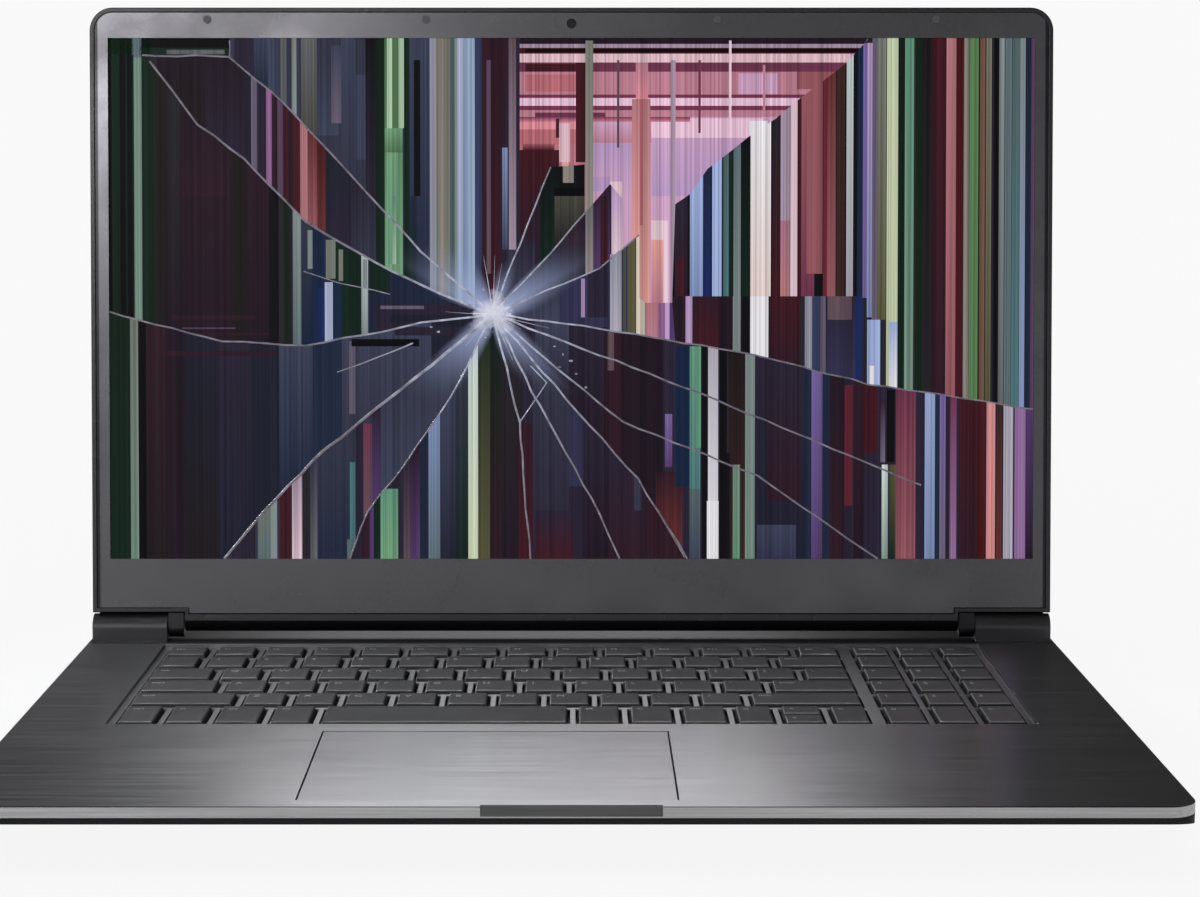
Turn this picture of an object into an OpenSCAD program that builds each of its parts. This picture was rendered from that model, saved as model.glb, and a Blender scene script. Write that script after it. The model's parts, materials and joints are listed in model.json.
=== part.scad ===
// Large clamshell laptop with a cracked display, standing open.
// The front of the machine faces -Y, the screen faces -Y, +Z is up, millimetres.

/* [Base] */
// Width of the base
base_w = 400; // [380:1:420]
// Depth of the base, front edge to rear wall
base_d = 274; // [270:1:286]
// Height of the deck's top face above the table
deck_h = 20.5; // [20:0.5:24]
// Corner radius of the base seen from above
base_r = 10; // [6:1:16]
// Height of the front lip
lip_h = 5.6; // [5:0.1:7]
// Height of the bright band round the deck's edge
band_h = 3.5; // [3:0.1:4]
// Length of the rising underside behind the front lip
wedge_d = 62; // [50:1:70]
// Thickness of the deck and bottom cover walls
wall = 1.6; // [1.2:0.1:2]
// Height of the rubber feet
foot_h = 2; // [1.5:0.1:3]

/* [Lid] */
// Width of the lid
lid_w = 397; // [380:1:400]
// Length of the lid from the hinge axis to its free edge
lid_len = 256; // [254:1:258]
// Thickness of the lid
lid_t = 9.6; // [9:0.1:11]
// Corner radius of the lid
lid_r = 9.5; // [6:0.5:14]
// Backward lean of the open lid from upright, degrees
lid_lean = 6; // [0:1:30]
// Gap between the closed lid and the deck
lid_gap = 0.8; // [0.8:0.1:1.2]
// Width of the display's lit area
display_w = 382.1; // [370:0.1:384]
// Height of the display's lit area
display_h = 214.9; // [208:0.1:216]
// Height of the display's lower edge above the hinge axis
chin_h = 28.6; // [26:0.1:29]
// Width of the cracks in the display glass
crack_w = 0.25; // [0.15:0.05:0.5]

/* [Hinges] */
// Distance of the hinge axis behind the front edge
hinge_back = 256; // [255:0.5:258]
// Height of the hinge axis above the deck
hinge_up = 5.4; // [5:0.1:6]
// Outer radius of the hinge covers
knuckle_r = 5.6; // [5.2:0.1:6]
// Length of each hinge cover
knuckle_len = 31; // [26:1:36]
// Gap between a hinge cover and the lid's chin
knuckle_gap = 7; // [6:0.5:9]
// Radius of the hinge shafts
shaft_r = 2; // [1.8:0.1:2.2]
// Radial running clearance of the hinge shafts
shaft_fit = 0.05; // [0.03:0.01:0.08]

/* [Keyboard] */
// Spacing of the letter keys
key_pitch = 19.05; // [18.5:0.05:19.05]
// Gap between two neighbouring key caps
key_gap = 3.2; // [2.8:0.1:3.6]
// Travel of a key
key_travel = 1.5; // [1:0.1:1.6]
// Width of the keyboard opening in the deck
tray_w = 336; // [330:1:344]
// Front edge of the keys behind the front edge of the base
keys_front = 111.9; // [110:0.1:113]
// Depth of the bottom row of keys
bottom_row_d = 28.5; // [26:0.1:28.5]
// Depth of the letter and number rows
letter_row_d = 21.4; // [19.5:0.1:21.4]
// Depth of the function row
function_row_d = 18.2; // [16:0.1:18.2]

/* [Touchpad] */
// Width of the touchpad
pad_w = 122.4; // [100:0.1:125]
// Depth of the touchpad
pad_d = 89.8; // [70:0.1:90]
// Front edge of the touchpad behind the front edge of the base
pad_front = 9.4; // [9:0.1:12]
// Sideways place of the touchpad's centre
pad_x = -27; // [-40:1:0]

/* [Cooling] */
// Number of fan blades
fan_blades = 23; // [9:1:31]
// Sideways place of the fan's centre
fan_x = -128; // [-130:1:-126]
// Distance of the fan's centre behind the front edge
fan_back = 212; // [210:1:214]

/* [Hidden] */
$fn = 48;

// A cut starts and ends this far outside the wall that it goes through
over = 1;

// Lid section, measured from the hinge axis: the screen side is at -Y in the lid's own frame
lid_front = lid_gap - hinge_up;
lid_back = lid_front + lid_t;
lid_bevel = 2.5;
lid_wall = 2;
lid_skin = 1.4;
barrel_r = lid_t / 2;
barrel_y = (lid_front + lid_back) / 2;
barrel_up = 3;
corner_up = 6.3;

// Hinges: covers, links beside the chin, and the plates inside the lid
knuckle_mid = base_w / 2 - 1.5 - knuckle_len / 2;
chin_half = base_w / 2 - 1.5 - knuckle_len - knuckle_gap;
link_r = 4.2;
link_play = 0.4;
crank_t = 2.2;
arm_plate_y = lid_back - lid_skin;
arm_plate_w = 34;
arm_plate_top = 22;

// Layers of the lid, from the front
bezel_t = 1.4;
bezel_low = 6.1;
glass_t = 1.05;
glass_lap = 2;
panel_t = 3.4;
camera_up = 249.4;
glass_y = lid_front + bezel_t + 0.05;
panel_y = glass_y + glass_t + 0.05;

// Whole depth of the open machine sets where the front edge lies, so that the origin is central
lid_top_y = (lid_len - lid_bevel) * sin(lid_lean) + lid_back * cos(lid_lean);
front_y = -(hinge_back + lid_top_y) / 2;
hinge_z = deck_h + hinge_up;

// Heights inside the base
skin_z = deck_h - wall;
seam_z = deck_h - band_h;
lip_z = deck_h - lip_h;
floor_z = foot_h + wall;
board_z = 6;
board_t = 1.4;
frame_t = 1;
tray_sheet_z = deck_h - 5.2;
tray_sheet_t = 1;
cap_top = deck_h - 0.1;
cap_h = 3.3;
cap_crown_t = 1.2;
port_z = 11;
power_r = 4.2;
audio_r = 1.8;
audio_nose_r = 3;
audio_depth = 11;

// Circuit boards inside the base: left, front, right, rear; and the holes for their pegs
main_board = [-86, 178, 190, 258];
main_board_holes = [[-60, 190], [60, 190], [172, 190], [-60, 250], [60, 250], [172, 250]];
port_board_holes = [[-182, 178], [-182, 252]];
board_hole_r = 1.5;

// Fan and speakers
fan_r = 32;
fan_box = 38;
fan_low = floor_z;
fan_high = 13.4;
speaker_x = 150;
speaker_back = 43;
speaker_low = 13;

// Keyboard plan: the main block, a gap, then a pad of three columns
key_left = -166.6;
key_right = 166.6;
main_w = 277;
pad_col = 17.8;
pad_left = key_right - 3 * pad_col;
tray_d_border = 2;
row_y = [
    keys_front,
    keys_front + bottom_row_d,
    keys_front + bottom_row_d + letter_row_d,
    keys_front + bottom_row_d + 2 * letter_row_d,
    keys_front + bottom_row_d + 3 * letter_row_d,
    keys_front + bottom_row_d + 4 * letter_row_d
];
keys_rear = row_y[5] + function_row_d;
tray_front = keys_front - tray_d_border;
tray_rear = keys_rear + tray_d_border;

// Sum of the first n entries of a list
function total(v, n) = n <= 0 ? 0 : v[n - 1] + total(v, n - 1);

// Cells of one row: [left, right, front, rear] of each key
function row_cells(widths, left, y, d) = [
    for (i = [0 : len(widths) - 1])
        [left + total(widths, i), left + total(widths, i + 1), y, y + d]
];

// One entry repeated n times
function same(value, n) = [for (i = [1 : n]) value];

tab_w = 1.45 * key_pitch;
caps_w = 1.7 * key_pitch;
shift_w = 2.2 * key_pitch;
backspace_w = main_w - 13 * key_pitch;
slash_w = main_w - tab_w - 12 * key_pitch;
enter_w = main_w - caps_w - 11 * key_pitch;
right_shift_w = main_w - shift_w - 10 * key_pitch;
control_ws = [17.4, 17.9, 19.9, 18.7];
space_w = 93.2;
arrow_ws = [19.1, 19.3, 19.6, 17.1, 18.1, 16.7];

number_row = row_cells(same(key_pitch, 13), key_left, row_y[4], letter_row_d);
upper_row = row_cells(concat(same(key_pitch, 12), [slash_w]), key_left + tab_w, row_y[3], letter_row_d);
home_row = row_cells(same(key_pitch, 11), key_left + caps_w, row_y[2], letter_row_d);
lower_row = row_cells(same(key_pitch, 10), key_left + shift_w, row_y[1], letter_row_d);
function_row = concat(
    row_cells(same(main_w / 14, 14), key_left, row_y[5], function_row_d),
    row_cells(same(pad_col, 2), pad_left, row_y[5], function_row_d)
);
controls = row_cells(control_ws, key_left, row_y[0], bottom_row_d);
space_left = key_left + total(control_ws, 4);
after_space = row_cells(arrow_ws, space_left + space_w, row_y[0], bottom_row_d);
number_pad = [
    for (r = [0 : 4])
        for (cell = row_cells(same(pad_col, 3), pad_left, row_y[r], r == 0 ? bottom_row_d : letter_row_d))
            cell
];

power_cell = [key_right - pad_col, key_right, row_y[5], row_y[5] + function_row_d];
backspace_cell = [key_left + main_w - backspace_w, key_left + main_w, row_y[4], row_y[5]];
tab_cell = [key_left, key_left + tab_w, row_y[3], row_y[4]];
caps_cell = [key_left, key_left + caps_w, row_y[2], row_y[3]];
enter_cell = [key_left + main_w - enter_w, key_left + main_w, row_y[2], row_y[3]];
shift_left_cell = [key_left, key_left + shift_w, row_y[1], row_y[2]];
shift_right_cell = [key_left + main_w - right_shift_w, key_left + main_w, row_y[1], row_y[2]];
space_cell = [space_left, space_left + space_w, row_y[0], row_y[1]];
up_down_cell = after_space[4];

single_cells = [
    power_cell, backspace_cell, tab_cell, caps_cell, enter_cell,
    shift_left_cell, shift_right_cell, space_cell
];
frame_cells = concat(
    single_cells, number_row, upper_row, home_row, lower_row,
    function_row, controls, after_space, number_pad
);

// The up and down keys share one opening: each is half as deep, 1 mm apart
half_key_overlap = (key_gap - 1) / 2;
up_down_mid = (up_down_cell[2] + up_down_cell[3]) / 2;
half_keys = [
    [up_down_cell[0], up_down_cell[1], up_down_cell[2], up_down_mid + half_key_overlap],
    [up_down_cell[0], up_down_cell[1], up_down_mid - half_key_overlap, up_down_cell[3]]
];
bottom_keys = concat(
    controls,
    [for (i = [0 : 3]) after_space[i]],
    half_keys,
    [after_space[5]]
);

// Places of the sockets: distance behind the front edge; the USB list says which side too
power_y = 240;
video_y = 216;
audio_y = 184;
usb_spots = [[-1, 191], [1, 232], [1, 208]];

// Screws through the bottom cover: [x, distance behind the front edge]
screw_spots = [
    [-188, 68], [188, 68], [-112, 66], [112, 66], [-188, 150], [188, 150],
    [-48, 262], [70, 262], [150, 262]
];
screw_r = 1.2;
screw_head_r = 2.6;
screw_head_h = 1.2;
screw_len = 9;
post_r = 2.8;

// Display cracks, from the lower left corner of the lit area: all start beside the point of impact
impact = [158.6, 101.3];
cracks = [
    [[144.5, 106.5], [109.5, 122.5], [81, 139.5], [56, 165], [37, 179.5], [17, 205.5]],
    [[129, 127], [97, 162], [71.5, 189], [50, 207.5], [14, 208]],
    [[129, 98], [113, 94], [81, 88.5], [46.5, 90], [11.5, 99], [-3, 102.7]],
    [[133, 80], [89, 45.5], [68.5, 25], [46.2, -3]],
    [[141, 67], [117.5, 33], [106.5, 20], [98.7, -3]],
    [[169.5, 56.5], [174.1, -3]],
    [[178, 63], [203, 18.5], [211.4, -3]],
    [[189, 66], [218.5, 33], [239.6, -3]],
    [[212.5, 56.5], [268, 34.5], [319.4, -3]],
    [[203, 84.5], [250.5, 66], [291.5, 49], [336, 30.5]],
    [[203, 95.5], [266, 84.5], [314, 72.5], [386, 61.7]],
    [[203, 120.5], [219, 134]],
    [[182.5, 162]],
    [[196.5, 143]]
];
// The glass is gone here; every corner lies further out than the cracks' inner ends
chip = [[0, 3.6], [1.3, 2.4], [3.4, 1.9], [2.7, -0.3], [3.5, -2.2], [0.6, -2.7],
        [-1.8, -3.3], [-2.7, -0.9], [-3.8, 0.8], [-2, 2.2]];
crack_start = 2.1;

// ---------- helpers ----------

// Places a shape measured from the front edge of the base
module on_base() {
    translate([0, front_y, 0]) children();
}

// Places a shape drawn upright in the lid's own frame, whose X axis is the hinge axis
module on_lid() {
    translate([0, front_y + hinge_back, hinge_z]) rotate([-lid_lean, 0, 0]) children();
}

// A box given by its lowest and highest corners
module box(low, high) {
    translate(low) cube(high - low);
}

// A rectangle with round corners, centred sideways, its front edge at y = 0
module round_plan(w, d, r) {
    translate([-w / 2 + r, 0]) square([w - 2 * r, d]);
    translate([-w / 2, r]) square([w, d - 2 * r]);
    for (x = [-w / 2 + r, w / 2 - r])
        for (y = [r, d - r])
            translate([x, y]) circle(r);
}

// Extrudes a [y, z] outline along X, centred
module along_x(len) {
    rotate([90, 0, 90]) translate([0, 0, -len / 2]) linear_extrude(len) children();
}

// Extrudes an [x, z] outline along Y from y0 to y1
module along_y(y0, y1) {
    translate([0, y1, 0]) rotate([90, 0, 0]) linear_extrude(y1 - y0) children();
}

// Unit vector square to the step that follows point i of a path
function square_to(path, i) =
    let (step = path[i + 1] - path[i]) [-step[1], step[0]] / norm(step);

// Offset of a ribbon's edge at point i of its centre line
function edge_at(path, i) =
    i == 0 ? square_to(path, 0)
    : i == len(path) - 1 ? square_to(path, i - 1)
    : (square_to(path, i - 1) + square_to(path, i)) / (1 + square_to(path, i - 1) * square_to(path, i));

// Outline of a ribbon of width w along a path
function ribbon(path, w) = concat(
    [for (i = [0 : len(path) - 1]) path[i] + edge_at(path, i) * w / 2],
    [for (i = [len(path) - 1 : -1 : 0]) path[i] - edge_at(path, i) * w / 2]
);

// A cylinder along X from x0 to x1 at the given y and z
module rod_x(x0, x1, y, z, r) {
    translate([x0, y, z]) rotate([0, 90, 0]) cylinder(h = x1 - x0, r = r);
}

// ---------- base shells ----------

// Underside height of the wedge at a distance behind the front edge
function wedge_z(y) = lip_z - (lip_z - foot_h) * y / wedge_d;

module deck_posts() {
    for (spot = screw_spots)
        translate([spot[0], spot[1], floor_z + 2])
            difference() {
                cylinder(h = skin_z - floor_z - 2, r = post_r);
                translate([0, 0, -over]) cylinder(h = screw_len - 2, r = screw_r + shaft_fit);
            }
}

module top_deck() {
    inner = wall + 0.2;
    bracket_slot = [22, 7];
    scoop_w = 58;
    scoop_d = 3;
    color([0.36, 0.36, 0.38]) on_base() {
        difference() {
            translate([0, 0, seam_z]) linear_extrude(band_h) round_plan(base_w, base_d, base_r);
            translate([0, inner, seam_z - over])
                linear_extrude(skin_z - seam_z + over)
                    round_plan(base_w - 2 * inner, base_d - 2 * inner, base_r - inner);
            // keyboard opening
            box([-tray_w / 2, tray_front, skin_z - over], [tray_w / 2, tray_rear, deck_h + over]);
            // touchpad opening
            box([pad_x - pad_w / 2 - 0.4, pad_front - 0.4, skin_z - over],
                [pad_x + pad_w / 2 + 0.4, pad_front + pad_d + 0.4, deck_h + over]);
            // slots that the hinge brackets rise through
            for (side = [-1, 1])
                translate([side * (base_w / 2 - 1.5 - knuckle_len / 2), hinge_back, skin_z])
                    cube([bracket_slot[0], bracket_slot[1], 6], center = true);
            // finger scoop in the front edge
            along_x(scoop_w)
                polygon([[-over, deck_h - scoop_d], [0, deck_h - scoop_d], [scoop_d, deck_h],
                         [scoop_d, deck_h + over], [-over, deck_h + over]]);
        }
        deck_posts();
    }
}

module bottom_cover() {
    chamfer = 5;
    tub_top = seam_z;
    rear_low = 7;
    in_x = base_w / 2 - wall;
    color([0.1, 0.1, 0.11]) on_base() {
        difference() {
            intersection() {
                linear_extrude(tub_top) round_plan(base_w, base_d, base_r);
                along_x(base_w)
                    polygon([[0, tub_top], [0, lip_z], [wedge_d, foot_h], [base_d - rear_low, foot_h],
                             [base_d, foot_h + rear_low], [base_d, tub_top]]);
                along_y(0, base_d)
                    polygon([[-base_w / 2, tub_top], [-base_w / 2, foot_h + chamfer],
                             [-base_w / 2 + chamfer, foot_h], [base_w / 2 - chamfer, foot_h],
                             [base_w / 2, foot_h + chamfer], [base_w / 2, tub_top]]);
            }
            // the hollow inside, one wall in from every face
            intersection() {
                translate([0, wall, 0])
                    linear_extrude(tub_top + over)
                        round_plan(base_w - 2 * wall, base_d - 2 * wall, base_r - wall);
                along_x(base_w)
                    polygon([[wall, tub_top + over], [wall, wedge_z(wall) + wall],
                             [wedge_d + 0.3, floor_z], [base_d - rear_low - 0.6, floor_z],
                             [base_d - wall, foot_h + rear_low + 0.6], [base_d - wall, tub_top + over]]);
                along_y(0, base_d)
                    polygon([[-in_x, tub_top + over], [-in_x, foot_h + chamfer + 0.6],
                             [-in_x + chamfer - 0.6, floor_z], [in_x - chamfer + 0.6, floor_z],
                             [in_x, foot_h + chamfer + 0.6], [in_x, tub_top + over]]);
            }
            intake_slots();
            exhaust_slots();
            speaker_slots();
            port_holes();
            screw_holes();
        }
        standoffs();
    }
}

// Air intake below the fan: slots that fill a circle
module intake_slots() {
    slot_w = 2;
    slot_pitch = 4;
    intake_r = 26;
    for (i = [-5 : 5])
        let (mid = fan_x + i * slot_pitch, half = sqrt(intake_r * intake_r - pow(i * slot_pitch, 2)))
            box([mid - slot_w / 2, fan_back - half, foot_h - over],
                [mid + slot_w / 2, fan_back + half, floor_z + over]);
}

// Air outlet in the rear wall behind the heatsink
module exhaust_slots() {
    slot_w = 2;
    slot_pitch = 4;
    slot_z = [9.8, 15.2];
    for (i = [0 : 16])
        let (x = fan_x - 33 + i * slot_pitch)
            box([x, base_d - wall - over, slot_z[0]], [x + slot_w, base_d + over, slot_z[1]]);
}

// Sound slots through the rising underside below each speaker
module speaker_slots() {
    slot = [1.8, 12];
    slot_pitch = 4;
    for (side = [-1, 1])
        for (i = [-5 : 5])
            translate([side * speaker_x + i * slot_pitch, speaker_back, 0])
                box([-slot[0] / 2, -slot[1] / 2, foot_h - 1], [slot[0] / 2, slot[1] / 2, speaker_low - 0.6]);
}

// Side openings for the sockets
module port_holes() {
    left = -base_w / 2;
    right = base_w / 2;
    video_hole = [7.7, 2.9];
    usb_hole = [13.4, 6];
    rod_x(left - over, left + wall + over, power_y, port_z, power_r + 0.2);
    box([left - over, video_y - video_hole[0], port_z - video_hole[1]],
        [left + wall + over, video_y + video_hole[0], port_z + video_hole[1]]);
    for (spot = usb_spots)
        translate([spot[0] * base_w / 2, spot[1], port_z])
            cube([2 * wall + 2, usb_hole[0], usb_hole[1]], center = true);
    rod_x(right - wall - over, right + over, audio_y, port_z, audio_nose_r + 0.2);
}

module screw_holes() {
    for (spot = screw_spots)
        translate([spot[0], spot[1], foot_h - 3]) {
            cylinder(h = 3 + screw_head_h, r = screw_head_r + 0.2);
            cylinder(h = 8, r = screw_r + 0.3);
        }
}

// Pegs that carry the circuit boards, and bosses that the screws go through
module standoffs() {
    sunk = 0.2;
    boss_h = 2.2;
    boss_r = 4;
    peg_r = 2;
    for (spot = screw_spots)
        translate([spot[0], spot[1], floor_z - sunk])
            difference() {
                cylinder(h = boss_h, r = boss_r);
                translate([0, 0, -over]) cylinder(h = boss_h + 2 * over, r = screw_r + 0.3);
            }
    for (spot = concat(main_board_holes, port_board_holes))
        translate([spot[0], spot[1], floor_z - sunk]) cylinder(h = board_z - floor_z + sunk, r = peg_r);
}

// Four long feet with round ends
module rubber_feet() {
    half_len = 22;
    half_w = 4;
    color([0.05, 0.05, 0.05]) on_base()
        for (x = [-140, 140])
            for (y = [80, 258])
                translate([x, y, 0]) {
                    translate([-half_len, -half_w, 0]) cube([2 * half_len, 2 * half_w, foot_h]);
                    for (end = [-half_len, half_len])
                        translate([end, 0, 0]) cylinder(h = foot_h, r = half_w);
                }
}

module bottom_screws() {
    socket_r = 1.1;
    color([0.2, 0.2, 0.21]) on_base()
        for (spot = screw_spots)
            translate([spot[0], spot[1], foot_h])
                difference() {
                    union() {
                        cylinder(h = screw_head_h, r = screw_head_r);
                        cylinder(h = screw_len, r = screw_r);
                    }
                    translate([0, 0, -over]) cylinder(h = over + 0.8, r = socket_r, $fn = 6);
                }
}

// ---------- keyboard ----------

// The moulded web between the keys, seen in the deck's opening
module keyboard_frame() {
    lap = 3;
    hole_gap = key_gap / 2 - 0.5;
    color([0.3, 0.3, 0.32]) on_base()
        difference() {
            box([-tray_w / 2 - lap, tray_front - lap, skin_z - frame_t],
                [tray_w / 2 + lap, tray_rear + lap, skin_z]);
            for (cell = frame_cells)
                box([cell[0] + hole_gap, cell[2] + hole_gap, skin_z - frame_t - over],
                    [cell[1] - hole_gap, cell[3] - hole_gap, skin_z + over]);
        }
}

// The metal tray under the keys, with a folded rim up to the web
module keyboard_backplate() {
    lap = 3;
    rim = 1;
    color([0.55, 0.56, 0.58]) on_base()
        difference() {
            box([-tray_w / 2 - lap, tray_front - lap, tray_sheet_z - tray_sheet_t],
                [tray_w / 2 + lap, tray_rear + lap, skin_z - frame_t]);
            box([-tray_w / 2 - lap + rim, tray_front - lap + rim, tray_sheet_z],
                [tray_w / 2 + lap - rim, tray_rear + lap - rim, skin_z]);
        }
}

// One rubber dome under the middle of each key
module key_domes() {
    // each dome stays 0.1 mm clear of its cap at full travel
    dome_h = cap_top - cap_crown_t - key_travel - 0.1 - tray_sheet_z;
    color([0.85, 0.86, 0.85]) on_base()
        for (cell = concat(single_cells, number_row, upper_row, home_row, lower_row,
                           function_row, bottom_keys, number_pad))
            translate([(cell[0] + cell[1]) / 2, (cell[2] + cell[3]) / 2, tray_sheet_z])
                difference() {
                    cylinder(h = dome_h, r1 = 3, r2 = 1.8);
                    translate([0, 0, -0.4]) cylinder(h = dome_h - 0.4, r1 = 2.4, r2 = 1.2);
                }
}

// A key cap that fills one cell, less half the gap on each side, hollow below
module key_cap(cell) {
    half_gap = key_gap / 2;
    cap_wall = 1.1;
    crown = 0.35;
    low = [cell[0] + half_gap, cell[2] + half_gap];
    high = [cell[1] - half_gap, cell[3] - half_gap];
    difference() {
        union() {
            box([low[0], low[1], cap_top - cap_h], [high[0], high[1], cap_top - crown]);
            box([low[0] + crown, low[1] + crown, cap_top - cap_h],
                [high[0] - crown, high[1] - crown, cap_top]);
        }
        box([low[0] + cap_wall, low[1] + cap_wall, cap_top - cap_h - over],
            [high[0] - cap_wall, high[1] - cap_wall, cap_top - cap_crown_t]);
    }
}

module key_set(cells) {
    color([0.09, 0.09, 0.1]) on_base()
        for (cell = cells)
            key_cap(cell);
}

// ---------- touchpad ----------

module touchpad() {
    recess = 0.15;
    board_gap = 1.5;
    color([0.42, 0.42, 0.44]) on_base() {
        box([pad_x - pad_w / 2, pad_front, deck_h - recess - 1.2],
            [pad_x + pad_w / 2, pad_front + pad_d, deck_h - recess]);
        box([pad_x - pad_w / 2 + 4, pad_front + 4, deck_h - recess - 1.2 - board_gap],
            [pad_x + pad_w / 2 - 4, pad_front + pad_d - 4, deck_h - recess - 1.2]);
    }
}

// Sheet metal cradle under the touchpad, with the click switch near its front
module touchpad_bracket() {
    lap = 5;
    rim = 1;
    sheet = 0.8;
    drop = 5.2;
    // the cradle starts behind the scoop; the switch stands 8 mm further back
    front = pad_front + 26;
    switch_y = front + 8;
    switch_r = 3;
    // the switch stands just under the pad's lowest place there
    switch_top = deck_h - 3.4;
    low_x = pad_x - pad_w / 2 - lap;
    high_x = pad_x + pad_w / 2 + lap;
    rear = pad_front + pad_d + lap;
    low_z = skin_z - drop;
    color([0.6, 0.61, 0.63]) on_base() {
        difference() {
            box([low_x, front, low_z], [high_x, rear, skin_z]);
            box([low_x + rim, front - over, low_z + sheet], [high_x - rim, rear - rim, skin_z + over]);
        }
        translate([pad_x, switch_y, low_z + sheet]) cylinder(h = switch_top - low_z - sheet, r = switch_r);
    }
}

// ---------- hinges ----------

// Moulded cover over one hinge, standing on the deck; side is -1 for left and 1 for right
module hinge_cover(side) {
    x0 = base_w / 2 - 1.5 - knuckle_len;
    x1 = base_w / 2 - 1.5;
    shell = 1;
    foot = 0.4;
    color([0.3, 0.3, 0.32]) on_base()
        mirror([side < 0 ? 1 : 0, 0, 0])
            difference() {
                union() {
                    rod_x(x0, x1, hinge_back, hinge_z, knuckle_r);
                    box([x0, hinge_back - knuckle_r, deck_h], [x1, hinge_back + knuckle_r, hinge_z]);
                    box([x0, hinge_back - knuckle_r - 3, deck_h],
                        [x1, hinge_back + knuckle_r + 3, deck_h + foot]);
                }
                rod_x(x0 + shell, x1 - shell, hinge_back, hinge_z, knuckle_r - shell);
                box([x0 + shell, hinge_back - knuckle_r + shell, deck_h - over],
                    [x1 - shell, hinge_back + knuckle_r - shell, hinge_z]);
                rod_x(x0 - over, x0 + 2, hinge_back, hinge_z, shaft_r + 0.6);
            }
}

// Steel friction barrel with its foot screwed below the deck
module hinge_bracket(side) {
    barrel_half = 8;
    barrel_outer = shaft_r + 2.1;
    web_half = [7, 1.5];
    foot_x = [knuckle_mid - 10, knuckle_mid + 12];
    foot_half = 13;
    foot_t = 1.8;
    hole_y = 9;
    hole_r = 1.3;
    color([0.5, 0.51, 0.53]) on_base()
        mirror([side < 0 ? 1 : 0, 0, 0])
            difference() {
                union() {
                    rod_x(knuckle_mid - barrel_half, knuckle_mid + barrel_half,
                          hinge_back, hinge_z, barrel_outer);
                    box([knuckle_mid - web_half[0], hinge_back - web_half[1], skin_z - foot_t],
                        [knuckle_mid + web_half[0], hinge_back + web_half[1], hinge_z]);
                    box([foot_x[0], hinge_back - foot_half, skin_z - foot_t],
                        [foot_x[1], hinge_back + foot_half, skin_z]);
                }
                rod_x(knuckle_mid - 2 * barrel_half, knuckle_mid + 2 * barrel_half,
                      hinge_back, hinge_z, shaft_r + shaft_fit);
                for (y = [-hole_y, hole_y])
                    translate([knuckle_mid, hinge_back + y, skin_z - foot_t - over])
                        cylinder(h = foot_t + 2 * over, r = hole_r);
            }
}

// Shaft, link, crank and plate that carry the lid; the plate is screwed inside the lid's chin
module hinge_arm(side) {
    crank_x = chin_half + 2.3;
    crank_end = crank_x + crank_t;
    shaft_end = knuckle_mid + 12;
    collar_x = [knuckle_mid + 8.4, knuckle_mid + 10];
    link_x = [chin_half + link_play, chin_half + knuckle_gap - link_play];
    plate_low = 10;
    hole_up = 16;
    hole_r = 1.2;
    color([0.12, 0.12, 0.13]) on_lid()
        mirror([side < 0 ? 1 : 0, 0, 0])
            difference() {
                union() {
                    rod_x(crank_x, shaft_end, 0, 0, shaft_r);
                    rod_x(collar_x[0], collar_x[1], 0, 0, shaft_r + 1.4);
                    rod_x(link_x[0], link_x[1], 0, 0, link_r);
                    box([link_x[0], -link_r, 0], [link_x[1], link_r, corner_up - 0.2]);
                    box([crank_x, -shaft_r - 0.8, 0], [crank_end, arm_plate_y, arm_plate_top]);
                    box([crank_x - arm_plate_w, arm_plate_y - crank_t, plate_low],
                        [crank_end, arm_plate_y, arm_plate_top]);
                }
                for (inward = [7, 18, 29])
                    translate([crank_x - inward, 0, hole_up])
                        rotate([-90, 0, 0]) cylinder(h = 10, r = hole_r);
            }
}

// ---------- parts inside the base ----------

module motherboard() {
    top = board_z + board_t;
    sunk = 0.1;
    // each package: left, front, width, depth, height
    packages = [[-44, 208, 24, 24, 1.2], [14, 216, 26, 20, 1.1], [66, 196, 12, 12, 1]];
    coil = [6.5, 6.5, 3];
    coil_pitch = 9;
    color([0.05, 0.25, 0.16]) on_base()
        difference() {
            union() {
                box([main_board[0], main_board[1], board_z], [main_board[2], main_board[3], top]);
                // processor, graphics and controller packages
                for (package = packages)
                    translate([package[0], package[1], top - sunk])
                        cube([package[2], package[3], package[4]]);
                // coils in a row behind the processor
                for (i = [0 : 4])
                    translate([-38 + i * coil_pitch, 241, top - sunk]) cube(coil);
            }
            for (spot = main_board_holes)
                translate([spot[0], spot[1], board_z - over]) cylinder(h = board_t + 2, r = board_hole_r);
        }
}

module port_board() {
    color([0.05, 0.25, 0.16]) on_base()
        difference() {
            box([-196, 174, board_z], [-170, 256, board_z + board_t]);
            for (spot = port_board_holes)
                translate([spot[0], spot[1], board_z - over]) cylinder(h = board_t + 2, r = board_hole_r);
        }
}

// Memory module with its chips, lying flat in a socket along its back edge
module memory_module() {
    left = 76;
    front = 216;
    rear = 246;
    length = 67.6;
    sheet = 1;
    top = 10.4;
    chip_size = [11, 13, 1];
    chip_pitch = 16;
    socket_d = 6;
    color([0.05, 0.3, 0.18]) on_base() {
        box([left, front, top - sheet], [left + length, rear, top]);
        for (i = [0 : 3])
            translate([left + 4 + i * chip_pitch, front + 8, top]) cube(chip_size);
        box([left - 2, rear, board_z + board_t], [left + length + 2, rear + socket_d, top + 1.2]);
    }
}

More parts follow.
